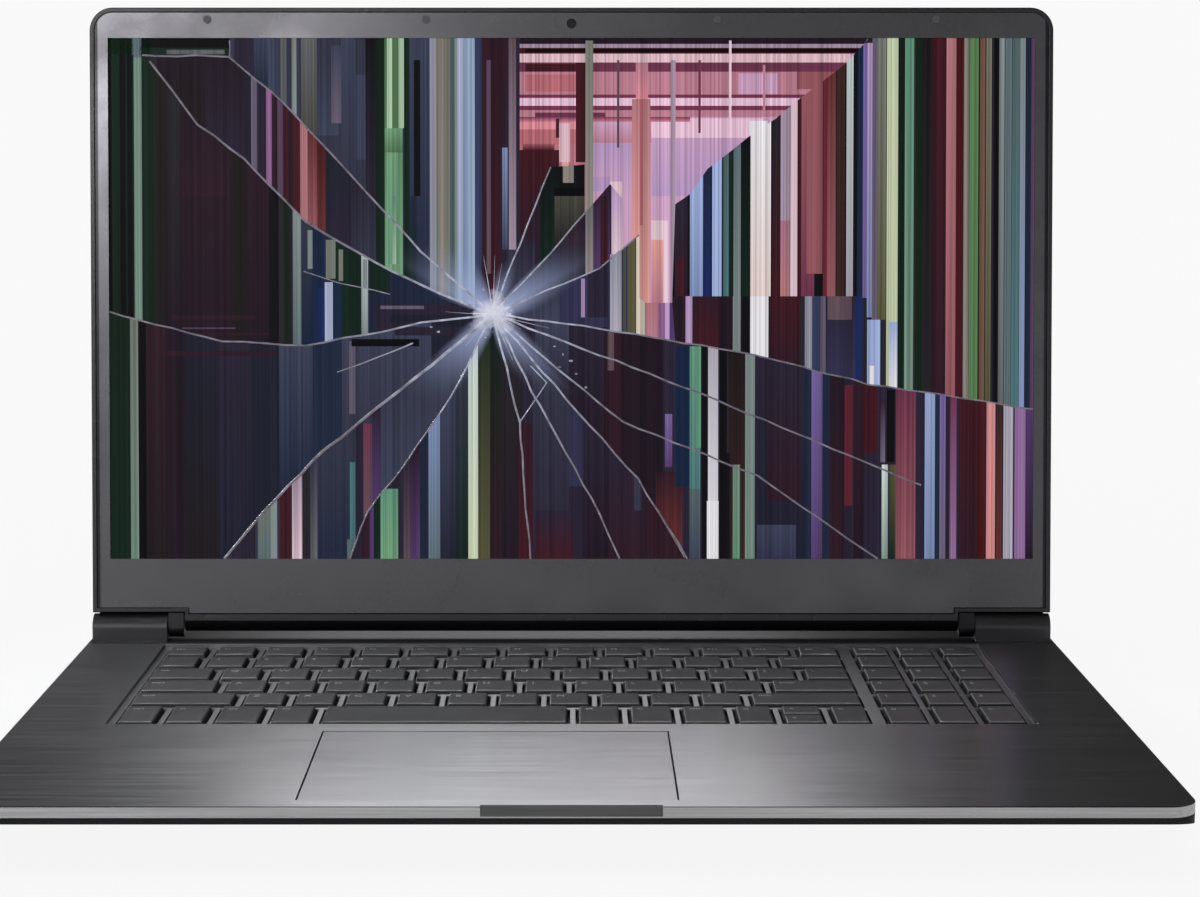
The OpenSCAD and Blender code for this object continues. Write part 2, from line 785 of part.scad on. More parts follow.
// Hard drive of the 2.5 inch size, 7 mm high, with its connector notch and side screw holes
module storage_drive() {
    drive = [69.9, 100, 7];
    corner = [106, 74, floor_z];
    notch = [36, 5, 3.2];
    hole_y = [14, 90.6];
    hole_z = 3;
    hole_depth = 3;
    hole_r = 1.25;
    color([0.68, 0.69, 0.7]) on_base()
        translate(corner)
            difference() {
                cube(drive);
                translate([8, -over, 1.5]) cube(notch);
                for (y = hole_y)
                    for (x = [-over, drive[0] - hole_depth])
                        translate([x, y, hole_z]) rotate([0, 90, 0])
                            cylinder(h = hole_depth + over, r = hole_r);
            }
}

// Small radio card with its shield, plugged into a socket on the right
module wireless_card() {
    left = 20;
    front = 184;
    card = [30, 22, 0.8];
    shield = [18, 16, 1.4];
    socket = [6, 24];
    card_z = board_z + board_t + 1.6;
    color([0.07, 0.22, 0.35]) on_base() {
        translate([left, front, card_z]) cube(card);
        translate([left + 4, front + 3, card_z + card[2]]) cube(shield);
        translate([left + card[0] - 4, front - 1, board_z + board_t])
            cube([socket[0], socket[1], card_z - board_z - board_t]);
    }
}

// Copper plate on the processor, flat heat pipe and the fin stack behind the fan
module heatsink() {
    plate_z = board_z + board_t + 1.1;
    plate_t = 1.8;
    fin_y = [251.6, 267];
    fin_z = [7, 14.2];
    fin_t = 0.4;
    fin_pitch = 4;
    fins = 17;
    fins_x = fan_x - 34.2;
    pipe_w = 6.4;
    pipe_z = [9, 12.2];
    pipe = [[fins_x - 1, 259], [-64, 259], [-32, 220]];
    color([0.72, 0.45, 0.3]) on_base() {
        for (i = [0 : fins - 1])
            let (x = fins_x + i * fin_pitch)
                box([x, fin_y[0], fin_z[0]], [x + fin_t, fin_y[1], fin_z[1]]);
        box([fins_x, fin_y[0], fin_z[0]],
            [fins_x + (fins - 1) * fin_pitch + fin_t, fin_y[1], fin_z[0] + 0.5]);
        translate([0, 0, pipe_z[0]]) linear_extrude(pipe_z[1] - pipe_z[0]) polygon(ribbon(pipe, pipe_w));
        box([-50, 202, plate_z], [-14, 238, plate_z + plate_t]);
    }
}

module fan_housing() {
    color([0.12, 0.12, 0.13]) on_base()
        translate([fan_x, fan_back, 0]) {
            difference() {
                box([-fan_box, -fan_box, fan_low], [fan_box, fan_box, fan_high]);
                translate([0, 0, fan_low + 1]) cylinder(h = fan_high - fan_low - 2, r = fan_r + 2);
                // outlet towards the fins
                box([-fan_r - 1, 0, fan_low + 1], [fan_r + 1, fan_box + over, fan_high - 1]);
                // inlets above and below
                translate([0, 0, fan_low + over + 1]) mirror([0, 0, 1])
                    difference() {
                        cylinder(h = over + 2, r = 24);
                        translate([0, 0, -over]) cylinder(h = over + 5, r = 9);
                        for (a = [0, 120, 240])
                            rotate(a) translate([0, -2, -over]) cube([26, 4, 6]);
                    }
                translate([0, 0, fan_high - over - 1]) cylinder(h = over + 2, r = 20);
            }
            // bearing pin
            translate([0, 0, fan_low + 0.5]) cylinder(h = 6, r = 1);
        }
}

// Hub and swept blades, one moulding, turning on the housing's pin
module fan_rotor() {
    low = fan_low + 1.9;
    high = fan_high - 1.6;
    hub_r = 12;
    color([0.07, 0.07, 0.08]) on_base()
        translate([fan_x, fan_back, 0])
            difference() {
                union() {
                    translate([0, 0, low]) cylinder(h = high - low, r = hub_r);
                    for (i = [0 : fan_blades - 1])
                        rotate(i * 360 / fan_blades)
                            translate([hub_r - 1, -2, low + 0.5]) rotate(18)
                                cube([fan_r - hub_r - 1, 0.8, high - low - 1]);
                }
                translate([0, 0, low - over]) cylinder(h = fan_low + 7 - low + over, r = 1 + shaft_fit);
            }
}

// Flat battery: six cells side by side in one wrapped block
module battery_pack() {
    left = -100;
    front = 76;
    block = [196, 70, 8.4];
    cell_w = 32.6;
    groove = [1.6, 1];
    groove_end = 3;
    color([0.08, 0.08, 0.09]) on_base()
        translate([left, front, floor_z])
            difference() {
                cube(block);
                // grooves between the flat cells
                for (i = [1 : 5])
                    translate([i * cell_w - groove[0] / 2, groove_end, block[2] - groove[1]])
                        cube([groove[0], block[1] - 2 * groove_end, groove[1] + over]);
            }
}

// Speaker box with a large and a small cone opening below
module speaker(side) {
    half = [28, 11];
    cone_r = 8.5;
    small_x = 18;
    small_r = 6;
    cone_depth = 1.2;
    color([0.06, 0.06, 0.07]) on_base()
        translate([side * speaker_x, speaker_back, 0])
            difference() {
                box([-half[0], -half[1], speaker_low], [half[0], half[1], skin_z]);
                translate([0, 0, speaker_low - over]) cylinder(h = over + cone_depth, r = cone_r);
                translate([small_x, 0, speaker_low - over]) cylinder(h = over + cone_depth, r = small_r);
            }
}

// One socket shell with its contact tongue; it opens towards +X
module usb_socket() {
    depth = 14;
    difference() {
        translate([-depth, -6.6, -2.9]) cube([depth, 13.2, 5.8]);
        translate([-depth + 0.4, -6.25, -2.55]) cube([depth, 12.5, 5.1]);
    }
    translate([-depth + 0.2, -5.5, 0.3]) cube([depth - 1.2, 11, 1.8]);
}

module usb_ports() {
    color([0.7, 0.71, 0.72]) on_base()
        for (spot = usb_spots)
            translate([spot[0] * (base_w / 2 - 0.4), spot[1], port_z])
                mirror([spot[0] < 0 ? 1 : 0, 0, 0]) usb_socket();
}

module video_port() {
    outline = [[-7, 2.2], [-7, -0.6], [-5.4, -2.2], [5.4, -2.2], [7, -0.6], [7, 2.2]];
    color([0.7, 0.71, 0.72]) on_base()
        translate([-base_w / 2 + 0.4, video_y, port_z]) {
            difference() {
                box([0, -7.5, -2.7], [11.5, 7.5, 2.7]);
                rotate([90, 0, 90]) translate([0, 0, -over]) linear_extrude(11 + over) polygon(outline);
            }
            box([0.9, -5.6, -0.2], [11.2, 5.6, 0.7]);
        }
}

module audio_jack() {
    right = base_w / 2;
    color([0.05, 0.05, 0.06]) on_base()
        difference() {
            union() {
                box([right - audio_depth - 2, audio_y - 3.4, board_z + board_t],
                    [right - wall - 0.2, audio_y + 3.4, port_z + 3.2]);
                rod_x(right - wall - 0.4, right - 0.1, audio_y, port_z, audio_nose_r);
            }
            rod_x(right - 0.1 - audio_depth, right + over, audio_y, port_z, audio_r);
        }
}

module power_inlet() {
    left = -base_w / 2;
    bore_r = 2.75;
    bore_depth = 9;
    color([0.05, 0.05, 0.06]) on_base() {
        difference() {
            union() {
                box([left + wall + 0.2, power_y - 5, board_z + board_t],
                    [left + 14, power_y + 5, port_z + power_r]);
                rod_x(left + 0.1, left + wall + 0.4, power_y, port_z, power_r);
            }
            rod_x(left - over, left + 0.1 + bore_depth, power_y, port_z, bore_r);
        }
        rod_x(left + 2, left + bore_depth + 1, power_y, port_z, 0.8);
    }
}

// ---------- lid ----------

// Outline of the lid in [x, z]: square below the hinges' clearance, round top corners
module lid_outline(inset) {
    half = lid_w / 2 - inset;
    top = lid_len - inset;
    r = lid_r - inset;
    low = corner_up + inset;
    translate([-half, low]) square([2 * half, top - r - low]);
    translate([-half + r, low]) square([2 * (half - r), top - low]);
    for (x = [-half + r, half - r])
        translate([x, top - r]) circle(r);
}

module lid_cover() {
    inner = lid_wall;
    color([0.16, 0.16, 0.17]) on_lid()
        difference() {
            intersection() {
                along_y(lid_front, lid_back)
                    union() {
                        lid_outline(0);
                        translate([-chin_half, -barrel_r]) square([2 * chin_half, barrel_r + corner_up + 1]);
                    }
                // side section: round lower edge, bevelled top back edge
                along_x(lid_w)
                    polygon(concat(
                        [[lid_back, lid_len - lid_bevel], [lid_back - lid_bevel, lid_len],
                         [lid_front, lid_len]],
                        [for (a = [180 : 10 : 360])
                            [barrel_y + barrel_r * cos(a), barrel_up + barrel_r * sin(a)]]
                    ));
                // plan section: bevelled back side edges
                translate([0, 0, -over])
                    translate([0, 0, -barrel_r]) linear_extrude(lid_len + barrel_r + 2 * over)
                        polygon([[-lid_w / 2, lid_front], [lid_w / 2, lid_front],
                                 [lid_w / 2, lid_back - lid_bevel], [lid_w / 2 - lid_bevel, lid_back],
                                 [-lid_w / 2 + lid_bevel, lid_back], [-lid_w / 2, lid_back - lid_bevel]]);
            }
            // pocket for the display, open to the front
            along_y(lid_front - over, lid_back - lid_skin)
                union() {
                    lid_outline(inner);
                    translate([-chin_half + inner, bezel_low - 0.1])
                        square([2 * (chin_half - inner), 6]);
                }
            // slots where the hinge arms enter
            for (side = [-1, 1])
                translate([side * (chin_half + 3.4), 0, 0])
                    box([-1.7, -shaft_r - 1.4, corner_up - over], [1.7, lid_back - lid_skin, corner_up + 4]);
        }
}

module screen_bezel() {
    gap = lid_wall + 0.15;
    color([0.33, 0.33, 0.35]) on_lid()
        difference() {
            along_y(lid_front, lid_front + bezel_t)
                union() {
                    lid_outline(gap);
                    translate([-chin_half + gap, bezel_low]) square([2 * (chin_half - gap), 6]);
                }
            box([-display_w / 2, lid_front - over, chin_h],
                [display_w / 2, lid_front + bezel_t + over, chin_h + display_h]);
            translate([0, lid_front - over, camera_up]) rotate([-90, 0, 0])
                cylinder(h = bezel_t + 2 * over, r = 2);
        }
}

// One crack: a thin ribbon through a list of points, starting at the chip round the impact
module crack(points) {
    toward = points[0] - impact;
    start = impact + toward * crack_start / norm(toward);
    translate([0, 0, -over]) linear_extrude(glass_t + 2 * over)
        polygon(ribbon(concat([start], points), crack_w));
}

// The cracked front glass: its shards lie where they broke
module lcd_glass() {
    color([0.12, 0.12, 0.18]) on_lid()
        translate([-display_w / 2, glass_y + glass_t, chin_h]) rotate([90, 0, 0])
            difference() {
                translate([-glass_lap, -glass_lap, 0])
                    cube([display_w + 2 * glass_lap, display_h + 2 * glass_lap, glass_t]);
                for (points = cracks)
                    crack(points);
                translate([impact[0], impact[1], -over]) linear_extrude(glass_t + 2 * over) polygon(chip);
            }
}

// Backlight frame behind the glass, with its driver strip along the lower edge
module lcd_panel() {
    edge = 3;
    color([0.75, 0.76, 0.78]) on_lid() {
        box([-display_w / 2 - edge, panel_y, chin_h - edge],
            [display_w / 2 + edge, panel_y + panel_t, chin_h + display_h + edge]);
        box([-120, panel_y + 1, chin_h - edge - 8], [120, panel_y + 2.4, chin_h - edge]);
    }
}

module webcam_module() {
    color([0.03, 0.03, 0.04]) on_lid() {
        translate([0, lid_front + 0.3, camera_up]) rotate([-90, 0, 0])
            difference() {
                cylinder(h = 2.4, r = 1.8);
                translate([0, 0, -over]) cylinder(h = over + 0.4, r = 1.2);
            }
        box([-32, lid_front + 2.5, camera_up - 2.4], [32, lid_front + 3.5, camera_up + 2.4]);
    }
}

// Two foil strips along the top edge of the lid
module antennas() {
    foil = [42, 0.6, 5.2];
    foil_up = 247.4;
    color([0.75, 0.6, 0.2]) on_lid()
        for (x = [-130, 88])
            translate([x, lid_front + 2, foil_up]) cube(foil);
}

// Flat display cable from the panel's driver strip towards the left hinge
module display_cable() {
    cable_t = 0.5;
    cable_w = 5;
    rise_x = [-112, -98];
    left = -126;
    low = chin_h - 14;
    strip_low = chin_h - 5.9;
    y = panel_y + 2.6;
    color([0.15, 0.15, 0.15]) on_lid() {
        box([rise_x[0], y, low], [rise_x[1], y + cable_t, strip_low]);
        box([left, y, low], [rise_x[1], y + cable_t, low + cable_w]);
    }
}

// Small soft pads that keep the closed lid off the deck
module lid_bumpers() {
    bumper_h = 0.65;
    color([0.04, 0.04, 0.04]) on_lid()
        for (x = [-150, -60, 60, 150])
            translate([x, lid_front, 251]) rotate([90, 0, 0]) cylinder(h = bumper_h, r = 1.6);
}

// ---------- drawing ----------

top_deck();
keyboard_frame();
keyboard_backplate();
key_domes();
bottom_cover();
rubber_feet();
bottom_screws();
hinge_cover(-1);  // hinge_cover_left
hinge_cover(1);  // hinge_cover_right
hinge_bracket(-1);  // hinge_bracket_left
hinge_bracket(1);  // hinge_bracket_right
motherboard();
port_board();
memory_module();
storage_drive();
wireless_card();
heatsink();
fan_housing();
fan_rotor();
battery_pack();
speaker(-1);  // speaker_left
speaker(1);  // speaker_right
usb_ports();
video_port();
audio_jack();
power_inlet();
touchpad();
touchpad_bracket();
key_set([power_cell]);  // key_power
key_set([backspace_cell]);  // key_backspace
key_set([tab_cell]);  // key_tab
key_set([caps_cell]);  // key_caps
key_set([enter_cell]);  // key_enter
key_set([shift_left_cell]);  // key_shift_left
key_set([shift_right_cell]);  // key_shift_right
key_set([space_cell]);  // key_space
key_set(function_row);  // keys_function
key_set(number_row);  // keys_number
key_set(upper_row);  // keys_upper
key_set(home_row);  // keys_home
key_set(lower_row);  // keys_lower
key_set(bottom_keys);  // keys_bottom
key_set(number_pad);  // keys_pad
lid_cover();
screen_bezel();
lcd_glass();
lcd_panel();
webcam_module();
antennas();
display_cable();
lid_bumpers();
hinge_arm(-1);  // hinge_arm_left
hinge_arm(1);  // hinge_arm_right
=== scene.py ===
"""Looks for an open laptop with a cracked display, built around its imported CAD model."""

import json
import math
import random

import bmesh
import bpy
from mathutils import Matrix, Vector


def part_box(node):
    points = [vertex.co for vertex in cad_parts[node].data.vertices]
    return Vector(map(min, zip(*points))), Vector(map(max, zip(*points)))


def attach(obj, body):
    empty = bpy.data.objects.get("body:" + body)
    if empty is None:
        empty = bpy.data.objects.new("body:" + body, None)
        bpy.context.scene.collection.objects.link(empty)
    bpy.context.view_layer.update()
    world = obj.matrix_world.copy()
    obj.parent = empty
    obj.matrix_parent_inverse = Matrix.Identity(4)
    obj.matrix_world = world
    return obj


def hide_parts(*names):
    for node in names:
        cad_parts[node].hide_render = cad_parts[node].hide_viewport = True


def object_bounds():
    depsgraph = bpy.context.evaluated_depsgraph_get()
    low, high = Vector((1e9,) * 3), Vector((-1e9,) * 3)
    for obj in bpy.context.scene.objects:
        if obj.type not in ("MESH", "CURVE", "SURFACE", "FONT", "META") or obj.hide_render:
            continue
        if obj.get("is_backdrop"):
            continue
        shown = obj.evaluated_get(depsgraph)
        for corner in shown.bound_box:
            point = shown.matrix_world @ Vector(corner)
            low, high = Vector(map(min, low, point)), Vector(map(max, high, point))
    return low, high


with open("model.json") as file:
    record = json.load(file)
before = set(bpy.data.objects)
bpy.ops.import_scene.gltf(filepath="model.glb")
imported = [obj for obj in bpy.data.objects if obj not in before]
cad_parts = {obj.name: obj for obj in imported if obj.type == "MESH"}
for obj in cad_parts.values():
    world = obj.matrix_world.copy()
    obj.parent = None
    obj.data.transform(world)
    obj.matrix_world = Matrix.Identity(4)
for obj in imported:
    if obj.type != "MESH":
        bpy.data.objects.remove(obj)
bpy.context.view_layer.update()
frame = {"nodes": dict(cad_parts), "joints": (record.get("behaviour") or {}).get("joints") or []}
nodes = frame["nodes"]

MM = 0.001
LEAN = math.radians(6)
hinge_joint = next(j for j in frame["joints"] if j["name"] == "lid_hinge")
LID = Matrix.Translation(hinge_joint["pos_m"]) @ Matrix.Rotation(-LEAN, 4, "X")
deck_low, deck_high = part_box("top_deck")
DECK_TOP = deck_high.z
FRONT = deck_low.y


# ---------- mesh helpers ----------

def deselect():
    if bpy.context.object and bpy.context.object.mode != "OBJECT":
        bpy.ops.object.mode_set(mode="OBJECT")
    bpy.ops.object.select_all(action="DESELECT")


def take(piece):
    """Makes one piece the only selected and active one."""
    deselect()
    piece.select_set(True)
    bpy.context.view_layer.objects.active = piece


def settle(piece):
    """Puts the piece's place, turn and scale into its mesh."""
    take(piece)
    bpy.ops.object.transform_apply(location=True, rotation=True, scale=True)
    return piece


def block(name, low, high):
    """A box between two corners, ready to be shaped."""
    deselect()
    low, high = Vector(low), Vector(high)
    bpy.ops.mesh.primitive_cube_add(size=1, location=(low + high) / 2)
    piece = bpy.context.object
    piece.name = name
    piece.scale = high - low
    return settle(piece)


def pick_faces(piece, wanted):
    """Goes into edit mode with only the faces that the test accepts selected."""
    take(piece)
    bpy.ops.object.mode_set(mode="EDIT")
    bpy.ops.mesh.select_mode(type="FACE")
    bpy.ops.mesh.select_all(action="DESELECT")
    bpy.ops.object.mode_set(mode="OBJECT")
    for face in piece.data.polygons:
        face.select = wanted(face)
    bpy.ops.object.mode_set(mode="EDIT")


def object_mode():
    bpy.ops.object.mode_set(mode="OBJECT")


def edit_all(piece):
    """Goes into edit mode with the whole piece selected."""
    take(piece)
    bpy.ops.object.mode_set(mode="EDIT")
    bpy.ops.mesh.select_all(action="SELECT")


def ease(piece, width, segments=2, angle=35, material=-1):
    """Rounds the piece's sharp edges for good."""
    take(piece)
    bevel = piece.modifiers.new("ease", "BEVEL")
    bevel.width = width
    bevel.segments = segments
    bevel.limit_method = "ANGLE"
    bevel.angle_limit = math.radians(angle)
    bevel.material = material
    bpy.ops.object.modifier_apply(modifier="ease")
    return piece


def smooth(piece, angle=35):
    take(piece)
    bpy.ops.object.shade_smooth_by_angle(angle=math.radians(angle))
    return piece


def even_normals(piece):
    """Keeps large flat faces flat beside their rounded edges."""
    take(piece)
    weighted = piece.modifiers.new("even", "WEIGHTED_NORMAL")
    weighted.weight = 100
    weighted.keep_sharp = True
    bpy.ops.object.modifier_apply(modifier="even")
    return piece


def paint(piece, *finishes):
    piece.data.materials.clear()
    for finish in finishes:
        piece.data.materials.append(finish)
    return piece


def new_object(name, data):
    piece = bpy.data.objects.new(name, data)
    bpy.context.scene.collection.objects.link(piece)
    return piece


def join(name, parts):
    """Joins parts into one piece."""
    deselect()
    for part in parts:
        part.select_set(True)
    bpy.context.view_layer.objects.active = parts[0]
    if len(parts) > 1:
        bpy.ops.object.join()
    piece = bpy.context.object
    piece.name = name
    return piece


def copy_of(piece, name, shift=(0, 0, 0)):
    twin = piece.copy()
    twin.data = piece.data.copy()
    twin.name = name
    bpy.context.scene.collection.objects.link(twin)
    twin.data.transform(Matrix.Translation(shift))
    return twin


def discard(piece):
    bpy.data.objects.remove(piece)


def merged_copy(node, name):
    """A copy of a CAD node with its triangles merged into flat faces."""
    piece = new_object(name, nodes[node].data.copy())
    edit_all(piece)
    bpy.ops.mesh.remove_doubles(threshold=2e-6)
    bpy.ops.mesh.dissolve_limited(angle_limit=math.radians(0.5))
    object_mode()
    return piece


def box_round(points):
    """The lowest and highest corners of the box round some points."""
    return (Vector(min(p[i] for p in points) for i in range(3)),
            Vector(max(p[i] for p in points) for i in range(3)))


def loose_boxes(node):
    """The box of each separate solid in a CAD node, left to right."""
    edit_all(merged_copy(node, "measure"))
    bpy.ops.mesh.separate(type="LOOSE")
    object_mode()
    found = []
    for part in list(bpy.context.selected_objects):
        found.append(box_round([v.co for v in part.data.vertices]))
        discard(part)
    return sorted(found, key=lambda b: (round(b[0].y, 4), b[0].x))


def lid_box(node):
    """A CAD node's box in the lid's own upright frame, measured from the hinge axis."""
    back = LID.inverted()
    return box_round([back @ v.co for v in nodes[node].data.vertices])


# ---------- finishes ----------

FINISHES = {}


def shader_of(finish):
    return finish.node_tree.nodes["Principled BSDF"]


def new_finish(name, colour, roughness, metallic=0.0):
    """Starts a finish, which is then found in FINISHES by its name."""
    finish = FINISHES[name] = bpy.data.materials.new(name)
    finish.use_nodes = True
    shader = shader_of(finish)
    shader.inputs["Base Color"].default_value = (*colour, 1)
    shader.inputs["Roughness"].default_value = roughness
    shader.inputs["Metallic"].default_value = metallic
    return finish, finish.node_tree, shader


def object_place(tree):
    return tree.nodes.new("ShaderNodeTexCoord").outputs["Object"]


def axis_of(tree, vector, axis):
    split = tree.nodes.new("ShaderNodeSeparateXYZ")
    tree.links.new(vector, split.inputs[0])
    return split.outputs[axis]


def length_of(tree, vector):
    node = tree.nodes.new("ShaderNodeVectorMath")
    node.operation = "LENGTH"
    tree.links.new(vector, node.inputs[0])
    return node.outputs["Value"]


def arithmetic(tree, operation, *values):
    """One step of arithmetic on values, each a socket or a number."""
    node = tree.nodes.new("ShaderNodeMath")
    node.operation = operation
    for socket, value in zip(node.inputs, values):
        if isinstance(value, bpy.types.NodeSocket):
            tree.links.new(value, socket)
        else:
            socket.default_value = value
    return node.outputs[0]


def pattern(tree, size, stretch=(1, 1, 1), detail=3.0, kind="ShaderNodeTexNoise"):
    """A noise with features of about `size` metres, longer along an axis whose stretch is above 1."""
    mapping = tree.nodes.new("ShaderNodeMapping")
    mapping.inputs["Scale"].default_value = [1 / s for s in stretch]
    texture = tree.nodes.new(kind)
    texture.inputs["Scale"].default_value = 1 / size
    if "Detail" in texture.inputs:
        texture.inputs["Detail"].default_value = detail
    tree.links.new(object_place(tree), mapping.inputs["Vector"])
    tree.links.new(mapping.outputs["Vector"], texture.inputs["Vector"])
    return texture.outputs[0]


def levels(tree, source, low, high, out_low, out_high):
    """Maps a range of a value onto another one."""
    node = tree.nodes.new("ShaderNodeMapRange")
    ends = {"From Min": low, "From Max": high, "To Min": out_low, "To Max": out_high}
    for socket, value in ends.items():
        node.inputs[socket].default_value = value
    tree.links.new(source, node.inputs["Value"])
    return node.outputs["Result"]


def blend_colours(tree, amount, first, second, blend="MIX"):
    node = tree.nodes.new("ShaderNodeMix")
    node.data_type = "RGBA"
    node.blend_type = blend
    for socket, value in ((0, amount), (6, first), (7, second)):
        if isinstance(value, bpy.types.NodeSocket):
            tree.links.new(value, node.inputs[socket])
        elif socket == 0:
            node.inputs[0].default_value = value
        else:
            node.inputs[socket].default_value = (*value, 1)
    return node.outputs[2]


def relief(tree, shader, height, depth, strength=1.0):
    bump = tree.nodes.new("ShaderNodeBump")
    bump.inputs["Strength"].default_value = strength
    bump.inputs["Distance"].default_value = depth
    tree.links.new(height, bump.inputs["Height"])
    tree.links.new(bump.outputs["Normal"], shader.inputs["Normal"])


def darken(finish, amount):
    """Takes the finish's colour towards black by an amount from 0 to 1, which may vary from place to place."""
    tree, base = finish.node_tree, shader_of(finish).inputs["Base Color"]
    tree.links.new(blend_colours(tree, amount, base.links[0].from_socket, (0, 0, 0)), base)


def shade(colour, factor):
    return tuple(min(1.0, c * factor) for c in colour)


def brushed(name, colour, roughness=0.36, metallic=1.0, anisotropy=0.95, line=0.0006):
    """Metal brushed from side to side."""
    finish, tree, shader = new_finish(name, colour, roughness, metallic)
    lines = pattern(tree, line, stretch=(90, 1, 1), detail=4)
    drift = pattern(tree, 0.05, detail=2)
    dark, light = shade(colour, 0.82), shade(colour, 1.16)
    streaks = blend_colours(tree, levels(tree, lines, 0.3, 0.7, 0, 1), dark, light)
    clouded = blend_colours(tree, levels(tree, drift, 0.35, 0.7, 0, 0.35), streaks, shade(colour, 0.8))
    tree.links.new(clouded, shader.inputs["Base Color"])
    uneven = levels(tree, lines, 0.25, 0.75, roughness - 0.07, roughness + 0.07)
    tree.links.new(uneven, shader.inputs["Roughness"])
    relief(tree, shader, lines, 0.00002, 0.35)
    shader.inputs["Anisotropic"].default_value = anisotropy
    direction = tree.nodes.new("ShaderNodeCombineXYZ")
    direction.inputs["Y"].default_value = 1
    tree.links.new(direction.outputs["Vector"], shader.inputs["Tangent"])
    return finish


def moulded(name, colour, roughness=0.5, grain=0.0009, depth=0.00004, metallic=0.0):
    """Moulded or painted surface with a fine texture, slightly uneven in colour and gloss."""
    finish, tree, shader = new_finish(name, colour, roughness, metallic)
    fine = pattern(tree, grain, detail=5)
    wear = pattern(tree, 0.03, detail=4)
    rubbed = blend_colours(tree, levels(tree, wear, 0.45, 0.75, 0, 0.5), colour, shade(colour, 1.35))
    mottled = blend_colours(tree, levels(tree, fine, 0.3, 0.7, 0, 0.3), rubbed, shade(colour, 0.7))
    tree.links.new(mottled, shader.inputs["Base Color"])
    uneven = levels(tree, wear, 0.3, 0.7, roughness + 0.06, roughness - 0.08)
    tree.links.new(uneven, shader.inputs["Roughness"])
    relief(tree, shader, fine, depth, 0.6)
    return finish


def sheet_metal(name, colour, roughness=0.35):
    """Bare or plated metal with cloudy tarnish and small scratches."""
    finish, tree, shader = new_finish(name, colour, roughness, 1.0)
    cloud = pattern(tree, 0.008, detail=5)
    scratch = pattern(tree, 0.0005, stretch=(14, 1, 1), detail=2)
    tone = blend_colours(tree, levels(tree, cloud, 0.35, 0.7, 0, 0.6), colour, shade(colour, 0.6))
    tree.links.new(tone, shader.inputs["Base Color"])
    uneven = levels(tree, cloud, 0.3, 0.7, roughness - 0.1, roughness + 0.15)
    tree.links.new(uneven, shader.inputs["Roughness"])
    relief(tree, shader, scratch, 0.00002, 0.4)
    return finish


def circuit(name, mask):
    """Solder mask over thin copper tracks."""
    finish, tree, shader = new_finish(name, mask, 0.4)
    tracks = tree.nodes.new("ShaderNodeTexBrick")
    black, white = (0, 0, 0, 1), (1, 1, 1, 1)
    for socket, value in (("Scale", 260), ("Mortar Size", 0.06), ("Color1", black), ("Color2", black),
                          ("Mortar", white)):
        tracks.inputs[socket].default_value = value
    tree.links.new(object_place(tree), tracks.inputs["Vector"])
    patches = levels(tree, pattern(tree, 0.006, detail=1), 0.45, 0.55, 0, 1)
    lined = blend_colours(tree, tracks.outputs["Color"], mask, shade(mask, 2.4))
    tree.links.new(blend_colours(tree, patches, lined, mask), shader.inputs["Base Color"])
    relief(tree, shader, tracks.outputs["Color"], 0.00003, 0.4)
    return finish


def wrapped_film(name, colour):
    """Wrinkled plastic film."""
    finish, tree, shader = new_finish(name, colour, 0.3)
    creases = pattern(tree, 0.01, detail=6)
    folds = blend_colours(tree, creases, shade(colour, 0.6), shade(colour, 1.6))
    tree.links.new(folds, shader.inputs["Base Color"])
    relief(tree, shader, creases, 0.0003, 0.5)
    return finish


brushed("deck_metal", (0.33, 0.33, 0.345))
brushed("deck_band", (0.5, 0.5, 0.51), roughness=0.3, anisotropy=0.3)
brushed("touchpad_face", (0.30, 0.30, 0.315), roughness=0.36)
# the finger scoop's metal, darkened as painted shade in the recess
brushed("scoop_metal_shade", (0.15, 0.15, 0.155))
brushed("key_web", (0.36, 0.36, 0.38), roughness=0.45)
moulded("key_plastic", (0.06, 0.06, 0.063), 0.45, grain=0.0006, depth=0.00002)
# painted highlight for the key caps' front and left edges
moulded("key_edge_highlight", (0.16, 0.16, 0.165), 0.45, grain=0.0006, depth=0.00002)
# painted shade for the key caps' sides
moulded("key_skirt_shade", (0.006, 0.006, 0.007), 0.6, grain=0.0006, depth=0.00002)
moulded("bumper_grey", (0.1, 0.1, 0.105), 0.4)
moulded("key_print", (0.45, 0.45, 0.47), 0.5, grain=0.0004)
moulded("bezel_paint", (0.13, 0.127, 0.138), 0.27, grain=0.0015, depth=0.000002, metallic=0.9)
moulded("lid_shell", (0.02, 0.02, 0.023), 0.32, grain=0.0005)
# painted shade for the lid's rounded lower edge
moulded("barrel_shade", (0.004, 0.004, 0.005), 0.55, grain=0.0005)
moulded("hinge_cap", (0.06, 0.06, 0.065), 0.36, grain=0.0005, depth=0.00001, metallic=0.6)
moulded("cover_plastic", (0.016, 0.016, 0.018), 0.5)
moulded("foot_rubber", (0.012, 0.012, 0.012), 0.8, grain=0.0012)
moulded("dome_rubber", (0.6, 0.6, 0.58), 0.6)
moulded("socket_plastic", (0.015, 0.015, 0.017), 0.45)
moulded("fan_plastic", (0.02, 0.02, 0.022), 0.45)
moulded("speaker_plastic", (0.018, 0.018, 0.02), 0.55)
moulded("webcam_black", (0.006, 0.006, 0.008), 0.15)
moulded("cable_black", (0.02, 0.02, 0.02), 0.45)
sheet_metal("tray_steel", (0.5, 0.51, 0.53))
sheet_metal("screw_steel", (0.12, 0.12, 0.13))
sheet_metal("hinge_steel", (0.05, 0.05, 0.055), 0.4)
sheet_metal("socket_metal", (0.6, 0.61, 0.62), 0.28)
sheet_metal("drive_metal", (0.6, 0.61, 0.62), 0.4)
sheet_metal("copper", (0.72, 0.36, 0.2), 0.3)
sheet_metal("antenna_foil", (0.75, 0.58, 0.2), 0.3)
circuit("board_green", (0.01, 0.075, 0.035))
circuit("board_blue", (0.012, 0.05, 0.11))
wrapped_film("battery_film", (0.014, 0.014, 0.016))
sheet_metal("display_panel", (0.5, 0.5, 0.52), 0.4)
